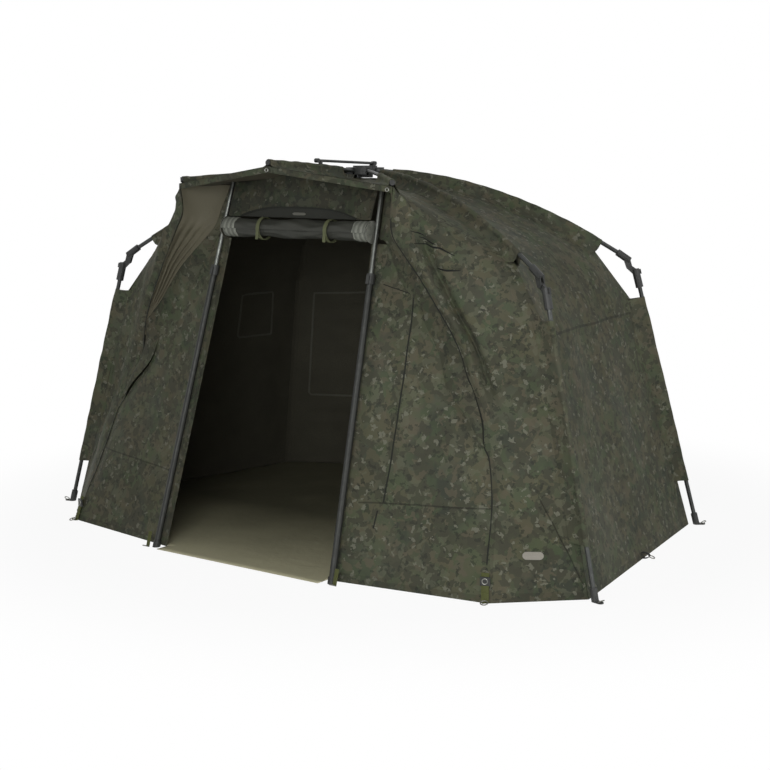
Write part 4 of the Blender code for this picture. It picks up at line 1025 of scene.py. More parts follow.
# the hood's front edge rows take the darker camo, as hem and as painted shade
pick = low_rows_pick(HOOD_HEM_SHARE)
hood_piece = cloth("peak_hood_cloth", hood, ABOVE, HEM_LOOKS, pick)
hood_piece.data.materials[0] = UNDER_HOOD
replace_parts(hood_piece, "peak_hood")

# the hood's front band in darker camo: painted shade
hood_band = np.array([hood[-1] - (0, 0.0012 - 0.002 * k**2, HOOD_BAND * k) for k in steps(4)])
cloth("peak_hood_band", hood_band, FAR_IN_FRONT, [CAMO_DARK])


# Door header, with the arched slit over the rolled door

HEADER_SHARE = 5 / 7
HEADER_ROWS = 40
HEADER_HALF_COLUMNS = 70
HEADER_DROP = 0.0022
ARCH_TOP = 1.238
ARCH_HALF_WIDTH = 0.270
ROLL_Y = pole_line(1, ROLL_HEIGHT).y


def header_grid():
    """The header's grid, from under the hood down to the ties."""
    top = hood_grid([HEADER_SHARE], HEADER_HALF_COLUMNS)[0]
    half = min(pole_line(1, HEADER_HEIGHT).x, top[0][0]) - POLE_SIDE_CLEARANCE
    top[:, 0] = np.clip(top[:, 0], -half, half)
    keep = np.abs(np.diff(top[:, 0], prepend=top[0, 0] + 1)) > 1e-6
    low = [Vector((point[0], ROLL_Y, HEADER_HEIGHT)) for point in top[keep]]
    high = [Vector(point) - Vector((0, 0, HEADER_DROP)) for point in top[keep]]
    grid = as_grid([[a.lerp(b, down) for a, b in zip(high, low)] for down in steps(HEADER_ROWS)])
    return lifted(grid, FAR_IN_FRONT, undulation(grid, 0.0022, 0.12, 61) * held(grid, 0.2))


def arch(across):
    """Height of the arched slit over the roll."""
    return ARCH_TOP - (ARCH_TOP - HEADER_HEIGHT) * np.abs(across / ARCH_HALF_WIDTH) ** 3


def header_pick(centres):
    """Darkened camouflage above the arch and the door's dark cloth below it, both with painted shade from
    the hood.
    """
    return np.where(centres[..., 2] > arch(centres[..., 0]), 1, 2)


looks = [CAMO_PAINTED_SHADE, DOOR_PAINTED_SHADE]
header_piece = cloth("door_header_cloth", header_grid(), FAR_IN_FRONT, looks, header_pick)
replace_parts(header_piece, "door_header")


# Rolled door and its ties

ROLL_STEPS = 260
ROLL_SIDES = 72
ROLL_TURNS = 2.6
ROLL_PITCH = 0.0085
BAND_LENGTH = 0.064
BAND_RIB = 0.0203
BAND_EDGE = 0.004
ROLL_REACH = ROLL_HALF_LENGTH + 0.006
ROLL_CREASES = ((0.0016, 3, 30), (0.0010, 7, -40), (0.0015, 2, 22))  # depth, waves round, waves along
TIE_CREASE = 0.0022


def round_roll(across, angle, radius):
    """Points at an angle and at a distance round the roll's middle line."""
    y, z = ROLL_Y + radius * math.cos(angle), ROLL_HEIGHT + radius * math.sin(angle)
    return np.stack(np.broadcast_arrays(across, y, z), -1)


def rolled_door():
    """The door's cloth rolled up, drawn in at its ties, sagging and creased between them."""
    phases = np.random.default_rng(71).uniform(0, math.tau, 6)
    across = np.linspace(-ROLL_REACH, ROLL_REACH, ROLL_STEPS)
    away = np.abs(across)
    slim = 1 - ROLL_DRAW_SHARE * (1 - np.cos(math.tau * across / (2 * TIE_OFFSET))) / 2
    pinch = bell(away, TIE_OFFSET, 0.02)
    near = bell(away, TIE_OFFSET, 0.05) - pinch
    banded = rising(away, ROLL_REACH - BAND_LENGTH, ROLL_REACH - BAND_LENGTH + BAND_EDGE)
    slim = slim - 0.03 * pinch + 0.06 * banded
    ribs = 0.0010 * banded * np.cos(math.tau * across / BAND_RIB)
    columns = []
    for turn in np.linspace(0, ROLL_TURNS, int(ROLL_SIDES * ROLL_TURNS)):
        angle = math.tau * turn - 0.6
        inner = ROLL_RADIUS - 0.0028 - ROLL_PITCH * (ROLL_TURNS - turn)
        crease = TIE_CREASE * near * np.sin(9 * angle + phases[3] + 30 * away)
        for (depth, turns, waves), phase in zip(ROLL_CREASES, phases):
            crease += depth * np.sin(turns * angle + waves * across + phase)
        radius = (inner + crease * (1 - 0.8 * pinch) * (1 - banded) + ribs) * slim
        columns.append(round_roll(across, angle, radius))
    return np.stack(columns, 1)


def roll_pick(centres):
    """The pale mesh bands at the ends of the roll."""
    end = ROLL_REACH - np.abs(centres[..., 0])
    return np.where((end < BAND_LENGTH) & (end > BAND_EDGE), 2, 1)


roll = rolled_door()
roll_middle = Vector(roll[ROLL_STEPS // 2, roll.shape[1] // 2])
roll_outside = roll_middle + 9 * (roll_middle - Vector((roll_middle.x, ROLL_Y, ROLL_HEIGHT)))
looks = [ROLL_CLOTH, BAND]
roll_piece = cloth(
    "rolled_door_cloth", roll, roll_outside, looks, roll_pick, -1
)
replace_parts(roll_piece, "rolled_door")


def roll_end(side, name):
    """The end of the roll's mesh band, tucked in over the turns."""
    phase = np.random.default_rng(73).uniform(0, math.tau)
    rows = []
    for share in steps(11):
        radius = (ROLL_RADIUS - 0.001) * (0.05 + 0.95 * share)
        row = []
        for angle in np.linspace(0, math.tau, 49):
            pleat = 0.0012 * share * math.sin(7 * angle + phase)
            reach = ROLL_REACH + 0.0035 * (1 - share**2) + pleat
            row.append(round_roll(side * reach, angle, radius))
        rows.append(row)
    outside = (side * 9, ROLL_Y, ROLL_HEIGHT)
    cloth(f"roll_end_{name}", as_grid(rows), outside, [BAND], None, -1)


for side, name in SIDES:
    roll_end(side, name)


TAPE_SECTION = ((-1.0, 0.0), (-1.0, 0.55), (-0.86, 1.0), (0.86, 1.0), (1.0, 0.55), (1.0, 0.0))
SHARP = math.radians(40)
RING_STEPS = 24
WIRE_SIDES = 8
TIE_STEPS = 48
TIE_SINK = 0.0015  # into the roll's cloth
UP = Vector((0, 0, 1))


def join_rings(bm, rings, index, closed):
    """Faces between rings of vertices, from the last back to the first where closed."""
    for a, b in zip(rings, rings[1:] + (rings[:1] if closed else [])):
        for k in range(len(a)):
            n = (k + 1) % len(a)
            bm.faces.new((a[k], a[n], b[n], b[k])).material_index = index


def tape_into(bm, points, ups, width, thickness, index=0, closed=False):
    """Adds a tape along points to a bmesh, lying on a surface whose normals are ups.

    The width is one value, or a list with a value for each point.
    """
    count = len(points)
    widths = width if isinstance(width, list) else [width] * count
    rings = []
    for k, (point, up) in enumerate(zip(points, ups)):
        before = points[k - 1] if k or closed else point
        after = points[(k + 1) % count] if k + 1 < count or closed else point
        side = (after - before).normalized().cross(up).normalized()
        ring = []
        for across, height in TAPE_SECTION:
            ring.append(bm.verts.new(point + side * across * widths[k] / 2 + up * height * thickness))
        rings.append(ring)
    join_rings(bm, rings, index, closed)
    if not closed:
        bm.faces.new(rings[0][::-1]).material_index = index
        bm.faces.new(rings[-1]).material_index = index


def torus_into(bm, centre, normal, radius, wire, index=0):
    """Adds a wire ring to a bmesh."""
    turn = Vector(normal).to_track_quat("Z", "Y").to_matrix()
    rings = []
    for a in steps(RING_STEPS)[:-1]:
        a *= math.tau
        ring = []
        for b in steps(WIRE_SIDES)[:-1]:
            b *= math.tau
            reach = radius + wire * math.cos(b)
            point = Vector((reach * math.cos(a), reach * math.sin(a), wire * math.sin(b)))
            ring.append(bm.verts.new(Vector(centre) + turn @ point))
        rings.append(ring)
    join_rings(bm, rings, index, True)


def bm_object(name, bm, looks, body="frame"):
    """A piece from a bmesh."""
    bmesh.ops.recalc_face_normals(bm, faces=bm.faces)
    mesh = bpy.data.meshes.new(name)
    bm.to_mesh(mesh)
    bm.free()
    made = new_object(name, mesh, looks, body)
    mesh.set_sharp_from_angle(angle=SHARP)
    return made


def tie(side, name):
    """A webbing tie: a loop round the roll, drawn tight, and its free end."""
    bm = bmesh.new()
    points, ups = [], []
    for share in steps(TIE_STEPS)[:-1]:
        angle = math.tau * share
        points.append(Vector(round_roll(side * TIE_OFFSET, angle, ROLL_RADIUS - TIE_SINK)))
        ups.append(Vector((0, math.cos(angle), math.sin(angle))))
    tape_into(bm, points, ups, TIE_WIDTH, TAPE, 0, True)
    start = Vector((side * TIE_OFFSET + 0.002, ROLL_Y - ROLL_RADIUS - 0.001, ROLL_HEIGHT - 0.004))
    tail = [start - Vector((0, 0.004, 0.034)) * t for t in steps(6)]
    tape_into(bm, tail, [Vector((0, -1, 0.1)).normalized()] * len(tail), TIE_WIDTH * 0.8, TAPE)
    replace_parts(bm_object(f"door_tie_loop_{name}", bm, [KHAKI]), f"door_tie_{name}")


for side, name in SIDES:
    tie(side, name)


# Sleeves: the shell runs up over each rib, leg and arm in a smooth fold

SLEEVE_STEPS = 100
SLEEVE_SIDE_STEPS = 9
SLEEVE_ARC = 12
TUCK = math.radians(25)  # how far under the tube's sides the cloth turns off
ARM_SLEEVE_WIDTH = 0.030
ARM_RADIUS = 0.007
TIP_CAP_RADIUS = 0.0095
TIP_CAP_LENGTH = 0.024
RIGHT_HOOD = hood[:, : HOOD_COLUMNS + 1]
LEFT_HOOD = hood[:, HOOD_COLUMNS:]
ARM_SLEEVES = {  # start as a share of the arm; the ridge's column; each foot's grid, its rows and its edge
    "right": (0.56, 0, (SECTORS[0], ROOF_ROWS, 0), (RIGHT_HOOD, HOOD_ROWS, 0)),
    "middle": (0.22, HOOD_COLUMNS, (RIGHT_HOOD, HOOD_ROWS, 1), (LEFT_HOOD, HOOD_ROWS, 0)),
    "left": (0.56, 2 * HOOD_COLUMNS, (LEFT_HOOD, HOOD_ROWS, 1), (SECTORS[-1], ROOF_ROWS, 1)),
}
ARM_SLEEVE_END = 0.990


def spot(grid, row, column):
    """A point between the points of a grid."""
    rows, columns = grid.shape[:2]
    row, column = min(max(row, 0), rows - 1.001), min(max(column, 0), columns - 1.001)
    i, j = int(row), int(column)
    u, v = row - i, column - j
    upper = grid[i, j] * (1 - v) + grid[i, j + 1] * v
    lower = grid[i + 1, j] * (1 - v) + grid[i + 1, j + 1] * v
    return Vector(upper * (1 - u) + lower * u)


def cover_row(centre, ridge, feet, radius):
    """One section of a sleeve: up from one foot, over the tube, and down to the other foot."""
    up = (centre - ridge).normalized()
    side = feet[1] - feet[0]
    side = (side - up * side.dot(up)).normalized()
    halves = []
    for way, foot in zip((-side, side), feet):
        turn_off = centre + way * radius * math.cos(TUCK) - up * radius * math.sin(TUCK)
        pull = ridge.lerp(centre, 0.12) + way * radius * 0.9
        shares = steps(SLEEVE_SIDE_STEPS)
        halves.append([(1 - t) ** 2 * foot + 2 * t * (1 - t) * pull + t * t * turn_off for t in shares])
    arc = []
    for k in steps(SLEEVE_ARC)[1:-1]:
        angle = math.pi + TUCK - (math.pi + 2 * TUCK) * k
        arc.append(centre + side * radius * math.cos(angle) + up * radius * math.sin(angle))
    return halves[0] + arc + halves[1][::-1]


def foot_on(grid, row, edge, width, outside):
    """The sleeve's foot on a grid's cloth, a width away from its first (0) or last (1) column."""
    count = grid.shape[1] - 1
    chord = (spot(grid, row, 0) - spot(grid, row, count)).length
    column = count * abs(edge - min(0.42, width / max(chord, 1e-6)))
    point = spot(grid, row, column)
    down = spot(grid, row + 1, column) - spot(grid, row - 1, column)
    beside = spot(grid, row, column + 1) - spot(grid, row, column - 1)
    normal = down.cross(beside).normalized()
    if normal.dot(outside - point) < 0:
        normal = -normal
    return point + normal * (CLOTH * 0.6)


def cover(name, sections, outside, seed):
    """A sleeve over its sections."""
    grid = as_grid(sections)
    calm = np.abs(np.linspace(-1, 1, grid.shape[1])) < 0.999
    grid = lifted(grid, outside, calm * undulation(grid, 0.0009, 0.06, seed))
    return cloth(name, grid, outside)


def seam_row(k, row, width, centre, outside):
    """One section of the sleeve along the seam between two sectors."""
    ridge = spot(SECTORS[k], row, SECTOR_COLUMNS)
    feet = foot_on(SECTORS[k], row, 1, width, outside), foot_on(SECTORS[k + 1], row, 0, width, outside)
    return cover_row(centre, ridge, feet, RIB_RADIUS + SLEEVE_WALL)


eave, notch, hem = leg_skin("rear")
NOTCH_LENGTH = (notch - eave).length
SKIN_LENGTH = NOTCH_LENGTH + (hem - notch).length


def low_row(length):
    """The row of a sector at a length below its eave, along the legs' lines."""
    return ROOF_ROWS + length / SKIN_LENGTH * LOW_ROWS


def roof_row(reach):
    """The row of a sector at a reach along its rib; rows beyond the roof's belong to the wall."""
    share = (reach - ROOF_RIM_REACH) / (EAVE_REACH - ROOF_RIM_REACH)
    if share <= 1:
        return share * ROOF_ROWS
    return low_row((reach - EAVE_REACH) / (NOTCH_REACH - EAVE_REACH) * NOTCH_LENGTH)


def rib_sleeve(k, place):
    """The sleeve on one rib, from the hub to the cut-out at the knuckle."""
    angle = RIB_ANGLES[place]
    high = plan(angle, 10 * FOOT_REACH, 10 * HUB_HEIGHT)
    sections = []
    for share in steps(SLEEVE_STEPS):
        reach = SLEEVE_START + (SLEEVE_END - SLEEVE_START) * share
        row = roof_row(SLEEVE_START + (SLEEVE_END_LOW - SLEEVE_START) * share)
        narrow = (0.55 + 0.45 * min(1, share * 3)) * (1 - 0.3 * max(0, share - 0.85) / 0.15)
        centre = plan(angle, reach, rib_height(reach))
        sections.append(seam_row(k, row, SLEEVE_WIDTH * narrow, centre, high))
    cover(f"rib_sleeve_{place}", sections, high, 81 + k)


def leg_sleeve(k, place):
    """The sleeve on one leg, from the knuckle's cut-out to above the foot."""
    angle = RIB_ANGLES[place]
    far = plan(angle, 10 * FOOT_REACH, 2 * HUB_HEIGHT)
    sections = []
    for share in steps(SLEEVE_STEPS):
        height = LEG_SLEEVE_TOP + (LEG_SLEEVE_LOW - LEG_SLEEVE_TOP) * share
        reach = ELBOW_REACH + (ELBOW_HEIGHT - height) / ELBOW_HEIGHT * (FOOT_REACH - ELBOW_REACH)
        past_notch = 1 - min(height, NOTCH_HEIGHT) / NOTCH_HEIGHT
        row = low_row(NOTCH_LENGTH + past_notch * (SKIN_LENGTH - NOTCH_LENGTH))
        sections.append(seam_row(k, row, LEG_SLEEVE_WIDTH, plan(angle, reach, height), far))
    crumples(cover(f"leg_sleeve_{place}", sections, far, 91 + k))


def arm_sleeve(arm):
    """The sleeve on one peak arm."""
    start, ridge_column, *feet_on = ARM_SLEEVES[arm]
    angle, end_reach, _ = ARMS[arm]
    high = plan(angle, 0, 10 * HUB_HEIGHT)
    sections = []
    for share in steps(SLEEVE_STEPS // 2):
        down = start + (ARM_SLEEVE_END - start) * share
        reach = ROOF_RIM_REACH + (end_reach - ROOF_RIM_REACH) * down
        feet = [foot_on(grid, down * rows, edge, ARM_SLEEVE_WIDTH, high) for grid, rows, edge in feet_on]
        capped = min(1, max(0, (reach - end_reach + TIP_CAP_LENGTH + 0.012) / 0.010))
        radius = ARM_RADIUS + (TIP_CAP_RADIUS - ARM_RADIUS) * capped + SLEEVE_WALL
        ridge = spot(hood, down * HOOD_ROWS, ridge_column)
        sections.append(cover_row(plan(angle, reach, arm_height(arm, reach)), ridge, feet, radius))
    cover(f"arm_sleeve_{arm}", sections, high, 101)


for k, place in enumerate(RIB_PLACES):
    rib_sleeve(k, place)
    leg_sleeve(k, place)
for arm in ARMS:
    arm_sleeve(arm)


# Tapes inside, over the seams between the sheets

EAVE_TAPE_ROWS = 3
EAVE_TAPE_DROP = 0.0022
LEG_TAPE_HALF_WIDTH = 0.014


def eave_tape():
    """The tape inside along the eaves, where roof and walls meet."""
    strips = []
    for grid, outside in zip(SECTORS, OUTSIDES):
        around = grid[ROOF_ROWS - EAVE_TAPE_ROWS: ROOF_ROWS + EAVE_TAPE_ROWS + 1]
        strips.append(around - outward(around, outside) * EAVE_TAPE_DROP)
    cloth("eave_tape", joined(strips), ABOVE, [INNER])


def leg_tape(place):
    """The tape inside along one leg's seam."""
    angle = RIB_ANGLES[place]
    inward = Vector((-math.cos(angle), -math.sin(angle), 0))
    side = Vector((-math.sin(angle), math.cos(angle), 0)) * LEG_TAPE_HALF_WIDTH
    rows = []
    for share in steps(60):
        point = along(leg_skin(place), share)
        rows.append([point + inward * (0.0035 + 0.004 * abs(k)) + side * k for k in (-1, -0.5, 0, 0.5, 1)])
    name, outside = f"leg_tape_{place}", (0, HUB_Y, 0.5)
    tape = cloth(name, as_grid(rows), outside, [INNER])
    crumples(tape)


eave_tape()
for place in RIB_PLACES:
    leg_tape(place)


# Groundsheet

SHEET_STEP = 0.03
SHEET_BACK = 0.0030 + SHEET_INSET
SHEET_LIFT = 0.0040
SHEET_LOWEST = 0.0022
SHEET_CALM_X = 1.15
SHEET_FRONT_Y = -1.046
SHEET_WRINKLES = ((0.00121, 0.55, 91), (0.00077, 0.16, 93), (0.00055, 0.07, 95))  # depth, length, seed


def sheet_outline():
    """The groundsheet's corners, with its door lip."""
    lip = DOOR_HALF_WIDTH - JAMB_WIDTH - SHEET_JAMB_GAP
    right = [
        ahead(lip, SHEET_FORWARD, 0),
        ahead(lip, DOOR_FORWARD - JAMB_BACK - SHEET_BACK, 0),
        ahead(CORNER_HALF_WIDTH - SHEET_INSET, CORNER_FORWARD - SHEET_BACK, 0),
        plan(RIB_ANGLES["front_right"], HEM_REACH - SHEET_INSET, 0),
        plan(RIB_ANGLES["rear_right"], HEM_REACH - SHEET_INSET, 0),
    ]
    back = plan(RIB_ANGLES["rear"], HEM_REACH - SHEET_INSET, 0)
    return [*right, back, *(sideways(point, -1) for point in right[::-1])]


def groundsheet():
    """The groundsheet: one flat cut, with soft wrinkles."""
    bm = bmesh.new()
    bm.faces.new([bm.verts.new(point) for point in sheet_outline()])
    for axis, way in enumerate((Vector((1, 0, 0)), Vector((0, 1, 0)))):
        low = min(vert.co[axis] for vert in bm.verts)
        high = max(vert.co[axis] for vert in bm.verts)
        for k in range(1, int((high - low) / SHEET_STEP)):
            geometry = bm.verts[:] + bm.edges[:] + bm.faces[:]
            bmesh.ops.bisect_plane(bm, geom=geometry, plane_co=way * (low + k * SHEET_STEP), plane_no=way)
    points = np.array([tuple(vert.co) for vert in bm.verts])
    wave = sum(undulation(points, *wrinkle) for wrinkle in SHEET_WRINKLES)
    from_edge = np.minimum(SHEET_CALM_X - np.abs(points[:, 0]), points[:, 1] - SHEET_FRONT_Y)
    for vert, lift in zip(bm.verts, SHEET_LIFT + wave * rising(from_edge, 0, 0.05)):
        vert.co.z = max(SHEET_LOWEST, lift)
    bmesh.ops.recalc_face_normals(bm, faces=bm.faces)
    if sum(face.normal.z for face in bm.faces) < 0:
        bmesh.ops.reverse_faces(bm, faces=bm.faces)
    area = sum(face.calc_area() for face in bm.faces)
    mesh = bpy.data.meshes.new("groundsheet")
    bm.to_mesh(mesh)
    bm.free()
    piece = new_object("groundsheet_cloth", mesh, [SHEET_LOOK])
    solidify = piece.modifiers.new("thickness", "SOLIDIFY")
    solidify.thickness = CLOTH
    solidify.offset = -1
    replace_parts(piece, "groundsheet")


groundsheet()


# Lines and fittings laid on the cloth

FRONT_WAY = Vector((0, 1, 0))
TAPE_LIFT = -0.0006  # sewn a little into the cloth
SEAM_THICKNESS = 0.0016
INFILL_SEAM_WIDTH = 0.006
GUSSET_SEAM_WIDTH = 0.005
INFILL_SEAM = ((0.440, -0.9, 0.262), (0.508, -0.9, 0.268), (0.920, -0.8, 0.284))
GUSSET_SEAM = ((1.023, -0.9, 0.315), (1.072, -0.9, 0.234), (1.122, -0.9, 0.150), (1.178, -0.9, 0.045))
WINDOW_LINES = {  # points, width and thickness of the lines round the right infill's window
    "window_zip_right": (((0.524, -0.7, 0.955), (0.528, -0.8, 0.60), (0.531, -0.9, 0.27)), 0.0055, 0.0020),
    "window_top_zip_right": (((0.400, -0.70, 0.985), (0.524, -0.70, 0.955)), 0.0035, 0.0014),
    "window_pull_right": (((0.516, -0.9, 0.243), (0.513, -0.9, 0.185)), 0.0050, 0.0022),
}
PIPING_REACH = ARCH_HALF_WIDTH - 0.003
PIPING_WIDTH = 0.007
PIPING_THICKNESS = 0.0035
EYELETS = ((0.0, -0.8465, 1.372), (0.470, -0.7800, 1.310))  # at the nose and the right tip
EYELET_RADIUS = 0.006
EYELET_WIRE = 0.0017


def tree_of(piece):
    """A search tree over a piece's open surface."""
    corners = [vert.co.copy() for vert in piece.data.vertices]
    return BVHTree.FromPolygons(corners, [tuple(face.vertices) for face in piece.data.polygons])


def lay(tree, points, way, lift=0.0):
    """Points cast on to a surface along a direction, with the surface's normals."""
    spots, ups = [], []
    for point in points:
        found, normal, _, _ = tree.ray_cast(point - way * 2.0, way)
        if found is None:
            found, normal, _, _ = tree.find_nearest(point)
        if normal.dot(way) > 0:
            normal = -normal
        spots.append(found + normal * (CLOTH + lift))
        ups.append(normal)
    return spots, ups


def between(points, gap=0.02):
    """A broken line cut into short steps."""
    points = [Vector(point) for point in points]
    return [along(points, share) for share in steps(max(2, int(length_of(points) / gap)))]


def laid_tape(
    name, tree, points, way, width, thickness, look, slot="camo_cloth", fold=None, lift=TAPE_LIFT
):
    """A tape on the cloth along a line of points."""
    bm = bmesh.new()
    tape_into(bm, *lay(tree, between(points), way, lift), width, thickness)
    made = bm_object(name, bm, [look])
    if fold:
        crumples(made)


def front_seams(side, name):
    """The seam across an infill and the one over the gusset beside it."""
    seam = [sideways(point, side) for point in INFILL_SEAM]
    tree, width = tree_of(infills[name]), INFILL_SEAM_WIDTH
    laid_tape(f"infill_seam_{name}", tree, seam, FRONT_WAY, width, SEAM_THICKNESS, SEAM_DARK)
    seam = [sideways(point, side) for point in GUSSET_SEAM]
    tree, width = tree_of(front_sheets[name][1]), GUSSET_SEAM_WIDTH
    laid_tape(f"gusset_seam_{name}", tree, seam, FRONT_WAY, width, SEAM_THICKNESS, SEAM_DARK, fold=name)


front_seams(1, "right")
for name, (points, width, thickness) in WINDOW_LINES.items():
    laid_tape(name, tree_of(infills["right"]), points, FRONT_WAY, width, thickness, ZIP_DARK)
front_seams(-1, "left")

piping = [(across, -0.9, arch(across)) for across in np.linspace(-PIPING_REACH, PIPING_REACH, 25)]
piping_size = PIPING_WIDTH, PIPING_THICKNESS
laid_tape(
    "header_piping", tree_of(header_piece), piping, FRONT_WAY, *piping_size, ZIP_DARK, "dark_cloth"
)

bm = bmesh.new()
for centre in EYELETS:
    torus_into(bm, centre, (0.2, -1, 0.1), EYELET_RADIUS, EYELET_WIRE)
bm_object("hood_eyelets", bm, [STEEL])


# Zips along the shell's edges

def edge_zip(side, name, label, rows):
    """The dark zip and binding along the shell's free edge, on the upper or the lower sheet."""
    grid = front_grid if side > 0 else mirrored(front_grid)
    line = grid[:, 0] + (grid[:, 1] - grid[:, 0]) * 0.2
    ups = outward(grid, sideways(FRONT_OUTSIDE, side))[:, 1]
    spots = [Vector(line[row] + ups[row] * CLOTH * 0.8) for row in rows]
    widths = [0.0042 + 0.0012 * math.sin(0.9 * row) * math.sin(0.23 * row) for row in rows]
    bm = bmesh.new()
    tape_into(bm, spots, [Vector(ups[row]) for row in rows], widths, 0.0014)
    look = SEAM_DARK if (name, label) == ("left", "upper") else ZIP_DARK
    return bm_object(f"edge_zip_{name}_{label}", bm, [look])


for side, name in SIDES:
    edge_zip(side, name, "upper", range(2 if side < 0 else FRONT_SPLIT // 3, FRONT_SPLIT + 1))
    crumples(edge_zip(side, name, "lower", range(FRONT_SPLIT, int(LOW_ROWS * 0.93))))


# Vents high on the front panels

VENT_SLITS = (
    ((0.551, -0.75, 1.174), (0.582, -0.74, 1.151), (0.616, -0.715, 1.131)),
    ((0.563, -0.74, 1.154), (0.617, -0.73, 1.125), (0.676, -0.700, 1.092)),
    ((0.573, -0.74, 1.133), (0.604, -0.73, 1.121), (0.636, -0.700, 1.115)),
    ((0.624, -0.73, 1.052), (0.666, -0.72, 1.044), (0.702, -0.700, 1.044)),
)


def vents(side, name):
    """Hooded slits: dark tapes for the mesh behind them and painted shade inside them."""
    tree = tree_of(front_sheets[name][0])
    bm = bmesh.new()
    for slit in VENT_SLITS:
        points = between([sideways(point, side) for point in slit], 0.006)
        widths = [0.002 + 0.0045 * math.sin(math.pi * k) for k in steps(len(points) - 1)]
        tape_into(bm, *lay(tree, points, FRONT_WAY, 0.0004), widths, 0.0008)
        hood_line = [point + UP * 0.006 for point in points]
        tape_into(bm, *lay(tree, hood_line, FRONT_WAY, 0.0004), 0.006, 0.0024, 1)
    bm_object(f"vents_{name}", bm, [VENT_MESH_AND_SHADE, CAMO_DARK])


for side, name in SIDES:
    vents(side, name)


# Seams of the walls, the bare label patch and the bare badge on the header

SEAM_HEIGHT = 0.83
SEAM_DIP = 0.004
WALL_SEAM_WIDTH = 0.009
PATCH_SPOTS = ((1.013, -0.778, 0.141), (1.064, -0.800, 0.138))
PATCH_WIDTH = 0.026
PATCH_THICKNESS = 0.0022
PATCH_RIM = 0.0025
BADGE_SPOTS = ((-0.020, ROLL_Y, 1.216), (0.040, ROLL_Y, 1.216))
BADGE_WIDTH = 0.010
BADGE_THICKNESS = 0.0012


def on_leg_line(place, height):
    """A point of the wall's edge line behind a leg at a height."""
    top, notch, hem = leg_skin(place)
    if height > notch.z:
        return notch.lerp(top, (height - notch.z) / (top.z - notch.z))
    return hem.lerp(notch, height / notch.z)


def on_wall(name, across, height):
    """A point between a wall's edge lines at a height."""
    first, second, _ = WALLS[name]
    return on_leg_line(first, height).lerp(on_leg_line(second, height), across)


wall_trees = {name: tree_of(piece) for name, (piece, _) in walls.items()}
for name, (first, second, _) in WALLS.items():
    seam = [on_wall(name, across, SEAM_HEIGHT) for across in (0.02, 0.5, 0.98)]
    seam[1].z -= SEAM_DIP
    line, way, size = rounded(seam), middle_way(first, second), (WALL_SEAM_WIDTH, SEAM_THICKNESS)
    laid_tape(f"{name}_seam", wall_trees[name], line, way, *size, SEAM_DARK, fold=name)


def round_ended(spots, width):
    """The width at each point of a tape whose ends are half round."""
    whole = length_of(spots)
    widths = []
    for k in range(len(spots)):
        reach = length_of(spots[: k + 1])
        left = min(reach, whole - reach, width / 2)
        widths.append(max(0.3 * width, 2 * math.sqrt(max(0, left * (width - left)))))
    return widths


def label_patch():
    """The bare woven patch low on the right front panel."""
    tree = tree_of(front_sheets["right"][1])
    points = between(PATCH_SPOTS, 0.0025)
    spots, ups = lay(tree, points, FRONT_WAY)
    rim, rim_ups = lay(tree, points, FRONT_WAY, -0.0012)
    bm = bmesh.new()
    tape_into(bm, spots, ups, round_ended(spots, PATCH_WIDTH), PATCH_THICKNESS, 0)
    rim_widths = round_ended(spots, PATCH_WIDTH + 2 * PATCH_RIM)
    tape_into(bm, rim, rim_ups, rim_widths, PATCH_THICKNESS, 1)
    crumples(bm_object("bare_patch", bm, [PATCH, CAMO_DARK]))


def badge():
    """The small bare badge on the header."""
    spots, ups = lay(tree_of(header_piece), between(BADGE_SPOTS, 0.006), FRONT_WAY, 0.0004)
    bm = bmesh.new()
    tape_into(bm, spots, ups, round_ended(spots, BADGE_WIDTH), BADGE_THICKNESS)
    bm_object("header_badge", bm, [BADGE])


label_patch()
badge()


# Peg loops with rings, straps and buckles at the hems

LOOP_LENGTH = 0.028
LOOP_WIDTH = 0.018
STRAP_WIDTH = 0.026
TAB_WIDTH = 0.016
LOOP_RING = (0.011, 0.0020)  # radius and wire
BUCKLE_RING = (0.009, 0.0018)
CORNER_RING = (0.012, 0.0020)
TAB_RING = (0.010, 0.0018)
FOOT_RING = (0.010, 0.0018)
BUCKLE_HALF_HEIGHT = 0.014
BUCKLE_THICKNESS = 0.006


def peg_loop(name, root, way):
    """A webbing loop that lies out from a wall's hem, with its ring."""
    points, ups = [], []
    for share in steps(14):
        angle = math.pi * share
        out = LOOP_LENGTH * math.sin(angle) ** 0.8
        points.append(root + way * out + UP * (0.010 * math.cos(angle) + 0.012))
        ups.append((way * math.sin(angle) + UP * math.cos(angle)).normalized())
    bm = bmesh.new()
    tape_into(bm, points, ups, LOOP_WIDTH, TAPE * 0.7)
    centre = root + way * (LOOP_LENGTH + 0.008) + UP * 0.009
    torus_into(bm, centre, UP + way * 0.35, *LOOP_RING, 1)
    crumples(bm_object(f"{name}_peg_loop", bm, [BLACK_WEB, STEEL]))


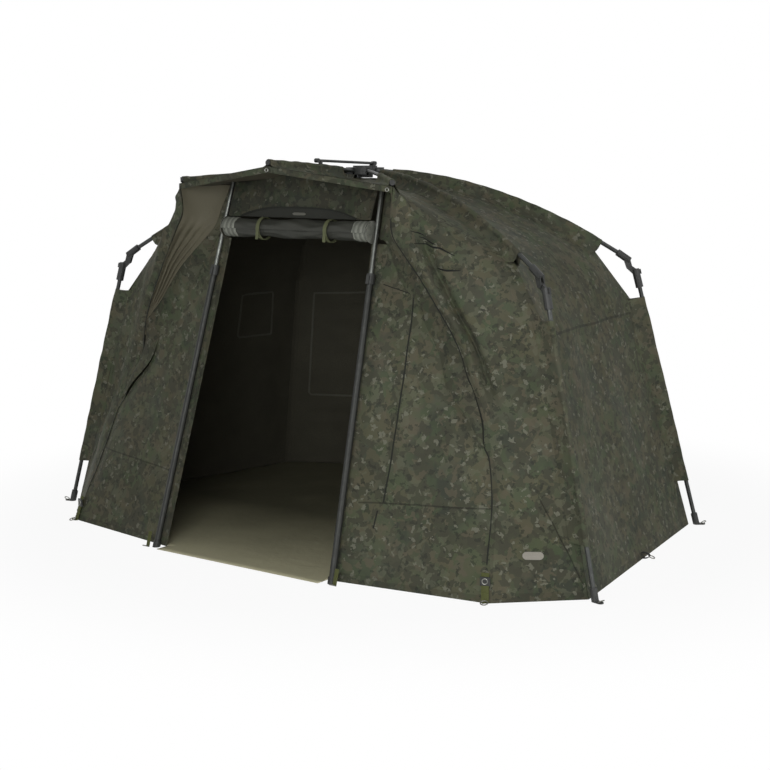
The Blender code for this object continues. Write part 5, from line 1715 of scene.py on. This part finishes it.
def corner_strap(side, name):
    """The strap down a front corner, with its buckle, ring and peg loop."""
    corner = sideways(LOWER_EDGE[-1], side)
    out = Vector((side * 0.35, -1, 0)).normalized()
    off = Vector((side * 0.2, -1, 0)).normalized() * 0.006
    strap = []
    for share in steps(18):
        height = 0.092 * (1 - share) + 0.004
        near = sideways(min(INFILL_LINE, key=lambda point: abs(point.z - height)), side)
        strap.append(Vector((near.x, near.y, height)) + off)
    buckle = strap[5]
    bm = bmesh.new()
    tape_into(bm, strap, [out] * len(strap), STRAP_WIDTH, TAPE)
    ends = [buckle + UP * BUCKLE_HALF_HEIGHT, buckle - UP * BUCKLE_HALF_HEIGHT]
    tape_into(bm, ends, [out] * 2, STRAP_WIDTH + 0.008, BUCKLE_THICKNESS, 1)
    torus_into(bm, buckle + out * BUCKLE_THICKNESS, out, *BUCKLE_RING, 2)
    torus_into(bm, corner + out * 0.020 + UP * 0.008, UP + out * 0.3, *CORNER_RING, 2)
    end = [strap[-1], corner + out * 0.012 + UP * 0.004, corner + out * 0.022 + UP * 0.006]
    tape_into(bm, end, [Vector((0, -0.5, 0.8)).normalized()] * 3, TAB_WIDTH, TAPE)
    bm_object(f"corner_strap_{name}", bm, [OLIVE, BLACK, STEEL])


def pole_tab(side, name):
    """The tab beside a door pole's foot, with its ring."""
    foot = pole_line(side, 0) + Vector((side * 0.026, -0.002, 0.055))
    tab = [foot - Vector((0, 0.016, 0.055)) * k for k in steps(8)]
    bm = bmesh.new()
    tape_into(bm, tab, [Vector((0, -1, 0))] * len(tab), TAB_WIDTH, TAPE)
    torus_into(bm, tab[-1] + Vector((0, -0.012, 0.006)), Vector((0, 0.3, 1)), *TAB_RING, 1)
    bm_object(f"pole_tab_{name}", bm, [OLIVE, STEEL])


for name, (first, second, _) in WALLS.items():
    way = -middle_way(first, second)
    peg_loop(name, Vector(walls[name][1][-1, SECTOR_COLUMNS // 2]) - way * 0.004, way)
for side, name in SIDES:
    corner_strap(side, name)
    pole_tab(side, name)
for place, angle in RIB_ANGLES.items():
    lean = UP - Vector((math.cos(angle), math.sin(angle), 0)) * 0.5
    bm = bmesh.new()
    torus_into(bm, plan(angle, FOOT_TAB_REACH + 0.004, 0.0085), lean, *FOOT_RING)
    bm_object(f"foot_ring_{place}", bm, [STEEL], f"leg_{place}")


# Windows in the rear walls: zipped covers outside, framed mesh inside; pockets inside the side walls

OUTLINES = (  # wall, kind, from and to a share across, bottom, top, rise of the arched top
    ("wall_rear_right", "window_cover", 0.08, 0.72, 0.34, 0.815, 0.008),
    ("wall_rear_right", "window_frame", 0.08, 0.72, 0.34, 0.815, 0.008),
    ("wall_rear_left", "window_cover", 0.28, 0.92, 0.34, 0.815, 0.008),
    ("wall_rear_left", "window_frame", 0.28, 0.92, 0.34, 0.815, 0.008),
    ("wall_left", "pocket_frame", 0.16, 0.36, 0.64, 0.83, 0.0),
    ("wall_right", "pocket_frame", 0.64, 0.84, 0.64, 0.83, 0.0),
)
COVER_WIDTH = 0.008
INSIDE_WIDTH = 0.009
OUTLINE_THICKNESS = 0.002


def outlined(name, kind, low, high, bottom, top, rise):
    """The zip round a window's cover outside a wall, or a frame's tape inside it."""
    outline = [(low, bottom)]
    outline += [(low + (high - low) * k, top + rise * math.sin(math.pi * k)) for k in steps(16)]
    outline += [(high + (low - high) * k, bottom) for k in steps(8)]
    points = [on_wall(name, across, height) for across, height in outline]
    way = middle_way(*WALLS[name][:2])
    if kind == "window_cover":
        width, look, lift = COVER_WIDTH, ZIP_DARK, TAPE_LIFT
    else:
        way, width, look, lift = -way, INSIDE_WIDTH, FRAME_LINE, -CLOTH
    size = width, OUTLINE_THICKNESS
    laid_tape(f"{name}_{kind}", wall_trees[name], points, way, *size, look, "dark_cloth", name, lift)


for outline in OUTLINES:
    outlined(*outline)


# Camera, light and floor

LAMPS = (  # name, place, aim, size, power
    ("key", (2.0, -4.3, 1.8), (0.4, -0.6, 0.5), 2.2, 84),
    ("fill", (-4.6, -4.0, 2.0), (0, -0.2, 0.7), 3.5, 3),
    ("side", (5.2, -0.9, 1.3), (0.6, 0, 0.5), 2.6, 54),
    ("top", (0.4, 1.2, 5.2), (0, 0, 0.8), 3.5, 4),
)
CAMERA_PLACE = (3.486, -4.902, 1.429)
CAMERA_TILT = 0.151  # down from level
CAMERA_TURN = 0.633
CAMERA_LENS = 71.11  # millimetres, as is the sensor
CAMERA_SENSOR = 36.0
FLOOR_SIZE = 40.0
AMBIENT_LOW = 0.30
AMBIENT_HIGH = 0.06
WHITE = (1, 1, 1, 1)
FLOOR_PALE = (0.86, 0.86, 0.86, 1)
FLOOR_DROP = 0.0006
SHADOW_REACH = 1.3
FADE_REACH = 2.3


def placed(name, data, spot, turn):
    """An object of the stage at its place."""
    made = bpy.data.objects.new(name, data)
    made.location = spot
    made.rotation_euler = turn
    bpy.context.scene.collection.objects.link(made)
    return made


def sky(world):
    """White where it is seen, and a softer level for the light it gives."""
    world.use_nodes = True
    world.node_tree.nodes.clear()
    nodes = Nodes(world.node_tree, "Generated")
    height = nodes.add("SeparateXYZ", {0: nodes.place}).outputs["Z"]
    level = nodes.ramp(height, 0.0, 1.0, AMBIENT_LOW, AMBIENT_HIGH)
    given = nodes.add("Background", {"Color": WHITE, "Strength": level}).outputs[0]
    seen = nodes.add("Background", {"Color": WHITE, "Strength": 1.0}).outputs[0]
    mixed = nodes.add("MixShader", {0: nodes.direct_ray(), 1: given, 2: seen}).outputs[0]
    nodes.add("OutputWorld", {"Surface": mixed})


def floor_look():
    """A pale floor that keeps the object's shadow and runs into the white behind it."""
    look = Look("floor_look", 0.9, specular=0.1)
    look.shader.inputs["Base Color"].default_value = FLOOR_PALE
    reach = look.add("VectorMath", {0: look.place}, operation="LENGTH").outputs["Value"]
    faded = look.ramp(reach, SHADOW_REACH, FADE_REACH, 0.93, 1.0, "SMOOTHSTEP")
    share = look.math("MULTIPLY", look.direct_ray(), faded)
    glow = look.add("Emission", {"Strength": 1.0}).outputs[0]
    mixed = look.add("MixShader", {0: share, 1: look.shader.outputs[0], 2: glow}).outputs[0]
    look.tree.links.new(mixed, look.tree.nodes["Material Output"].inputs["Surface"])
    return look.material


def stage():
    """The camera at the photograph's angle, soft light and a plain pale floor."""
    scene = bpy.context.scene
    camera = bpy.data.cameras.new("camera")
    camera.sensor_width = CAMERA_SENSOR
    camera.lens = CAMERA_LENS
    scene.camera = placed("camera", camera, CAMERA_PLACE, (math.pi / 2 - CAMERA_TILT, 0, CAMERA_TURN))
    for name, place, aim, size, power in LAMPS:
        lamp = bpy.data.lights.new(name, "AREA")
        lamp.shape = "DISK"
        lamp.size = size
        lamp.energy = power
        placed(name, lamp, place, (Vector(aim) - Vector(place)).to_track_quat("-Z", "Y").to_euler())
    scene.world = bpy.data.worlds.new("world")
    sky(scene.world)
    bm = bmesh.new()
    bmesh.ops.create_grid(bm, x_segments=2, y_segments=2, size=FLOOR_SIZE)
    mesh = bpy.data.meshes.new("floor")
    bm.to_mesh(mesh)
    bm.free()
    mesh.materials.append(floor_look())
    placed("floor", mesh, (0, 0, -FLOOR_DROP), (0, 0, 0))
    scene.view_settings.view_transform = "Standard"


stage()

# The sheets under all that was laid on them get meshes of their own
for name in WALLS:
    crumples(walls[name][0])
for name, (_, lower) in front_sheets.items():
    crumples(lower)
